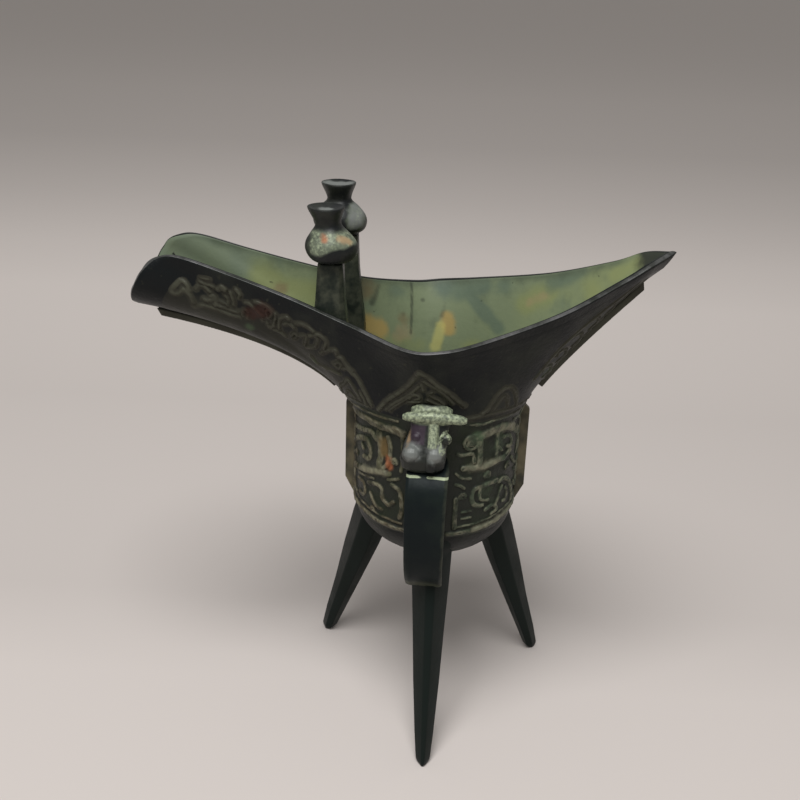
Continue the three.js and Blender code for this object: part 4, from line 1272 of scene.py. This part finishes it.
def inside_shade(points):
    """Patches of the patina inside, from the rim down."""
    x, y, z = points.T
    below = wall_top(x) - z
    far = np.clip(y / 12, 0, 1)
    rim = 0.7 * np.clip((4 - below) / 4, 0, 1) * far
    drip = [
        ([(-11.9, 36, 155.1), (-11.6, 32.8, 149.3), (-11.4, 28.3, 137.6)], 0.7, 1),
        ([(-24, 28, 156), (-26, 25, 150)], 1.5, 0.8),
        ([(4, 34, 152), (1, 33, 148), (0, 32, 144)], 1.4, 0.7),
        ((-7.4, 34.3, 149), 1.2, 0.9),
        ((-15, 30, 145), 1.6, 0.7),
    ]
    teal = [
        ([(2, 36.5, 155), (8.4, 34.8, 154), (14, 33.5, 156)], 5.5, 1.1),
        ([(10.4, 32.8, 152), (15.1, 29, 148), (21.3, 24.1, 142.6)], 3, 1.1),
        ([(40, 19.5, 162), (48.7, 16.6, 168.6)], 4.5, 1),
        ((24, 30, 157), 5, 0.9),
        ((-18, 31, 154), 5, 0.8),
    ]
    yellow = [
        ((53, 9.3, 163.5), 5, 1),
        ([(60, 7, 170), (67.4, 4.5, 175.8)], 4, 1),
        ([(30, 22.5, 153), (38, 19, 158)], 5, 1),
        ([(-66, 14.7, 161), (-56, 15.7, 157.4), (-46, 18, 154)], 6, 1),
        ([(-24, 20, 138), (-8, 26, 134), (12, 25, 134)], 4, 0.9),
    ]
    brown = [((-28, 25.7, 154.8), 5, 0.9), ((-14.3, 28.9, 143.3), 3, 0.8), ((-59.4, 14.6, 157.6), 3, 1)]
    rose = [((-14.8, 27.1, 138), 4.2, 1), ([(32.2, 21.6, 154.1), (37.3, 19.4, 157.4)], 2.5, 0.7)]
    ochre = [([(2.2, 31.4, 144), (2.8, 30.2, 138.6)], 2.8, 1.1), ([(-28, 22, 143), (-23, 24, 140)], 4.4, 1)]
    bright = [([(0, 31, 140), (-0.7, 30, 136.3), (-1.6, 28.8, 132.5)], 2.3, 1.1)]
    return {
        "grey": np.clip((-62 - x) / 12, 0, 1) * far,
        "teal": np.maximum(spots(points, teal), 0.7 * rim),
        "shade": rim,
        "yellow": spots(points, yellow),
        "brown": spots(points, brown),
        "rose": spots(points, rose),
        "ochre": spots(points, ochre),
        "bright": spots(points, bright),
        "drip": spots(points, drip),
        "dark": 1.4 * np.clip((x - 64) / 7, 0, 1),
    }


def wall_top(x):
    """Height of the rim over x."""
    places = rim_points(np.linspace(0.3, 1, 200))
    return np.interp(x, places[:, 0], places[:, 2])


def ring_columns(count):
    """Rim parameters whose ribs start evenly round half of the neck ring."""
    u = np.linspace(0, 1, 3001)
    return np.interp(np.linspace(0, math.pi, count + 1), ring_angles(u), u)


def even_columns(first, last, step):
    u = np.linspace(first, last, 3001)
    rim_step = np.linalg.norm(np.diff(rim_points(u), axis=0), axis=1)
    travelled = np.concatenate([[0], np.cumsum(rim_step)])
    return np.interp(np.linspace(0, travelled[-1], int(travelled[-1] / step)), travelled, u)


def belly_band(strokes, material):
    half = int(math.pi * BELLY_RADIUS / RELIEF_STEP)
    levels = np.concatenate([
        np.linspace(-0.13, 0, 12)[:-1],
        np.linspace(0, 1, int(BELLY_HEIGHT / RELIEF_STEP))[:-1],
        np.linspace(1, 1.24, 24),
    ])
    grid = both_sides(wall_rows(ring_columns(half), levels))
    patches = {
        "rust": [([polar(-123.5, 110), polar(-122.6, 107)], 1.7, 1)],
        "ochre": [([polar(-127.5, 116), polar(-126.6, 111.5)], 2, 0.9)],
        "green": [
            (polar(-60.7, 119.5), 4, 0.7),
            (polar(-42, 117), 5, 0.6),
            (polar(-48, 100), 9, 0.4),
            (polar(-160, 112), 6, 0.4),
        ],
        "pale": [
            ([polar(-66, 108.9), polar(-55, 108.6), polar(-44, 109.4)], 2.4, 0.8),
            ([polar(-150, 101.2), polar(-140, 102.2), polar(-126, 104)], 2.2, 0.8),
            ([polar(-60, 84.2), polar(-40, 85), polar(-20, 86)], 2, 0.7),
            ([polar(-55, 121.2), polar(-40, 121.6), polar(-26, 119.4)], 2.6, 0.7),
            ([polar(-165, 120.6), polar(-145, 122.4)], 2, 0.7),
        ],
    }
    relief_skin("belly_band", grid, True, strokes, material, patches)


def neck_skin(name, side, strokes, material):
    columns = even_columns(0.012, 0.988, 0.47)
    levels = np.linspace(1.13, 1.94, 130)
    grid = wall_rows(columns, levels) * (1, side, 1)
    patches = {
        "green": [
            (polar(-97, 131), 5, 0.6),
            ((38, -14, 140), 6, 0.5),
            ((-66, -14.5, 152), 2.4, 0.8),
            ((-44, -17, 141), 2.6, 0.8),
        ],
        "red": [([(-64.5, -16, 158), (-60, -17.5, 160)], 3.4, 1.1)],
        "olive": [([(-92, -13, 160), (-62, -14.5, 152), (-45, -17, 143), (-34, -18, 135)], 7, 1)],
    }
    relief_skin(name, grid, False, strokes, material, patches)


def polar(angle, height):
    turn = math.radians(angle)
    return (BELLY_RADIUS * math.cos(turn), BELLY_RADIUS * math.sin(turn), height)


def outside_tree():
    """The outside of the cup, for laying strokes on it."""
    grid = wall_grid(0)
    rows, columns = grid.shape[:2]
    return BVHTree.FromPolygons(grid.reshape(-1, 3).tolist(), grid_faces(rows, columns))


def make_floor():
    """A wide pale floor that darkens with distance, its light and shade painted into its colour."""
    side = 12
    mesh = bpy.data.meshes.new("floor")
    corners = [(-side, -2, 0), (side, -2, 0), (side, side, 0), (-side, side, 0)]
    mesh.from_pydata(corners, [], [(0, 1, 2, 3)])
    floor = bpy.data.objects.new("floor", mesh)
    bpy.context.scene.collection.objects.link(floor)
    material, tree, shader = new_material("floor_paper")
    position = add(tree, "ShaderNodeSeparateXYZ")
    connect(tree, object_place(tree), position.inputs["Vector"])
    away = add(tree, "ShaderNodeMath", operation="ADD")
    connect(tree, position.outputs["Y"], away.inputs[0])
    away.inputs[1].default_value = 1
    share = add(tree, "ShaderNodeMath", operation="DIVIDE")
    connect(tree, position.outputs["Y"], share.inputs[0])
    connect(tree, away.outputs[0], share.inputs[1])
    ramp = add(tree, "ShaderNodeValToRGB")
    connect(tree, share.outputs[0], ramp.inputs["Fac"])
    stops = ramp.color_ramp.elements
    while len(stops) < len(FLOOR_PAINTED_LIGHT):
        stops.new(0.5)
    for stop, (distance, tone) in zip(stops, FLOOR_PAINTED_LIGHT):
        stop.position = distance / (distance + 1)
        stop.color = (tone * FLOOR_TINT[0], tone * FLOOR_TINT[1], tone * FLOOR_TINT[2], 1)
    connect(tree, ramp.outputs["Color"], shader.inputs["Base Color"])
    shader.inputs["Roughness"].default_value = 0.9
    mesh.materials.append(material)


def area_light(name, where, aim, size, power, colour=(1, 1, 1)):
    data = bpy.data.lights.new(name, "AREA")
    data.shape = "DISK"
    data.size = size
    data.energy = power
    data.color = colour
    light = bpy.data.objects.new(name, data)
    light.location = where
    light.rotation_euler = (Vector(aim) - Vector(where)).to_track_quat("-Z", "Y").to_euler()
    bpy.context.scene.collection.objects.link(light)


def light_studio():
    world = bpy.data.worlds.new("studio")
    world.use_nodes = True
    background = world.node_tree.nodes["Background"]
    background.inputs["Color"].default_value = (1, 0.985, 0.96, 1)
    background.inputs["Strength"].default_value = 0.3
    bpy.context.scene.world = world
    area_light("overhead", (-0.1, -0.5, 1.2), (0, 0, 0.08), 0.7, 14.5)


def make_camera():
    data = bpy.data.cameras.new("camera")
    data.sensor_width = SENSOR
    data.lens = FOCAL_PIXELS / PICTURE_SIDE * SENSOR
    data.clip_end = 50
    camera = bpy.data.objects.new("camera", data)
    azimuth = math.radians(CAMERA_AZIMUTH)
    elevation = math.radians(CAMERA_ELEVATION)
    back = Vector((
        math.sin(azimuth) * math.cos(elevation),
        -math.cos(azimuth) * math.cos(elevation),
        math.sin(elevation),
    ))
    camera.rotation_mode = "QUATERNION"
    roll = Quaternion((0, 0, 1), math.radians(CAMERA_ROLL))
    camera.rotation_quaternion = back.to_track_quat("Z", "Y") @ roll
    camera.location = Vector(place(CAMERA_PLACE))
    bpy.context.scene.collection.objects.link(camera)
    bpy.context.scene.camera = camera


make_camera()
light_studio()
make_floor()

CUP = cup_bronze()
FLANGE = plain_bronze("flange_bronze", KEEL_OLIVE, FLANGE_OLIVE, 0.2, 90)
# The keels' lighter olive is painted light: it lifts their downward faces, which the lamps leave dark, to the
# body's tone.
KEEL_PAINTED_LIT = plain_bronze("keel_bronze_painted_lit", KEEL_OLIVE, SPOUT_OLIVE, 0.2, 90)
LEG = plain_bronze("leg_bronze", LEG_BLACK, LEG_BLUE, 0.06, 40, 0.35)
POST = plain_bronze("post_bronze", POST_DARK, POST_OLIVE, 0.2, 220)
WORN = worn_bronze()

vessel = cup_vessel(CUP, lip_bronze(), inside_patina())
OUTSIDE = outside_tree()
every_stroke = round_strokes() + side_strokes()
belly_band(every_stroke, band_bronze())
neck_skin("neck_relief_near", -1, every_stroke, CUP)
neck_skin("neck_relief_far", 1, every_stroke, CUP)

for node in LEGS:
    leg(node, LEG)
strap(strap_bronze())
for node in ("spout_keel", "tail_keel"):
    recast(node, 0.3, 4, KEEL_PAINTED_LIT)
for node in ("post_front", "post_rear"):
    recast(node, 0.35, 8, POST)
for node in ("belly_flange_spout", "belly_flange_tail", "belly_flange_rear"):
    recast(node, 0.25, 4, FLANGE)
recast("ox_head", 0.25, 3, WORN, head_shade)
cap("post_cap_front", WORN, near_cap_shade)
cap("post_cap_rear", WORN, far_cap_shade)

bpy.context.scene.view_settings.view_transform = "Standard"
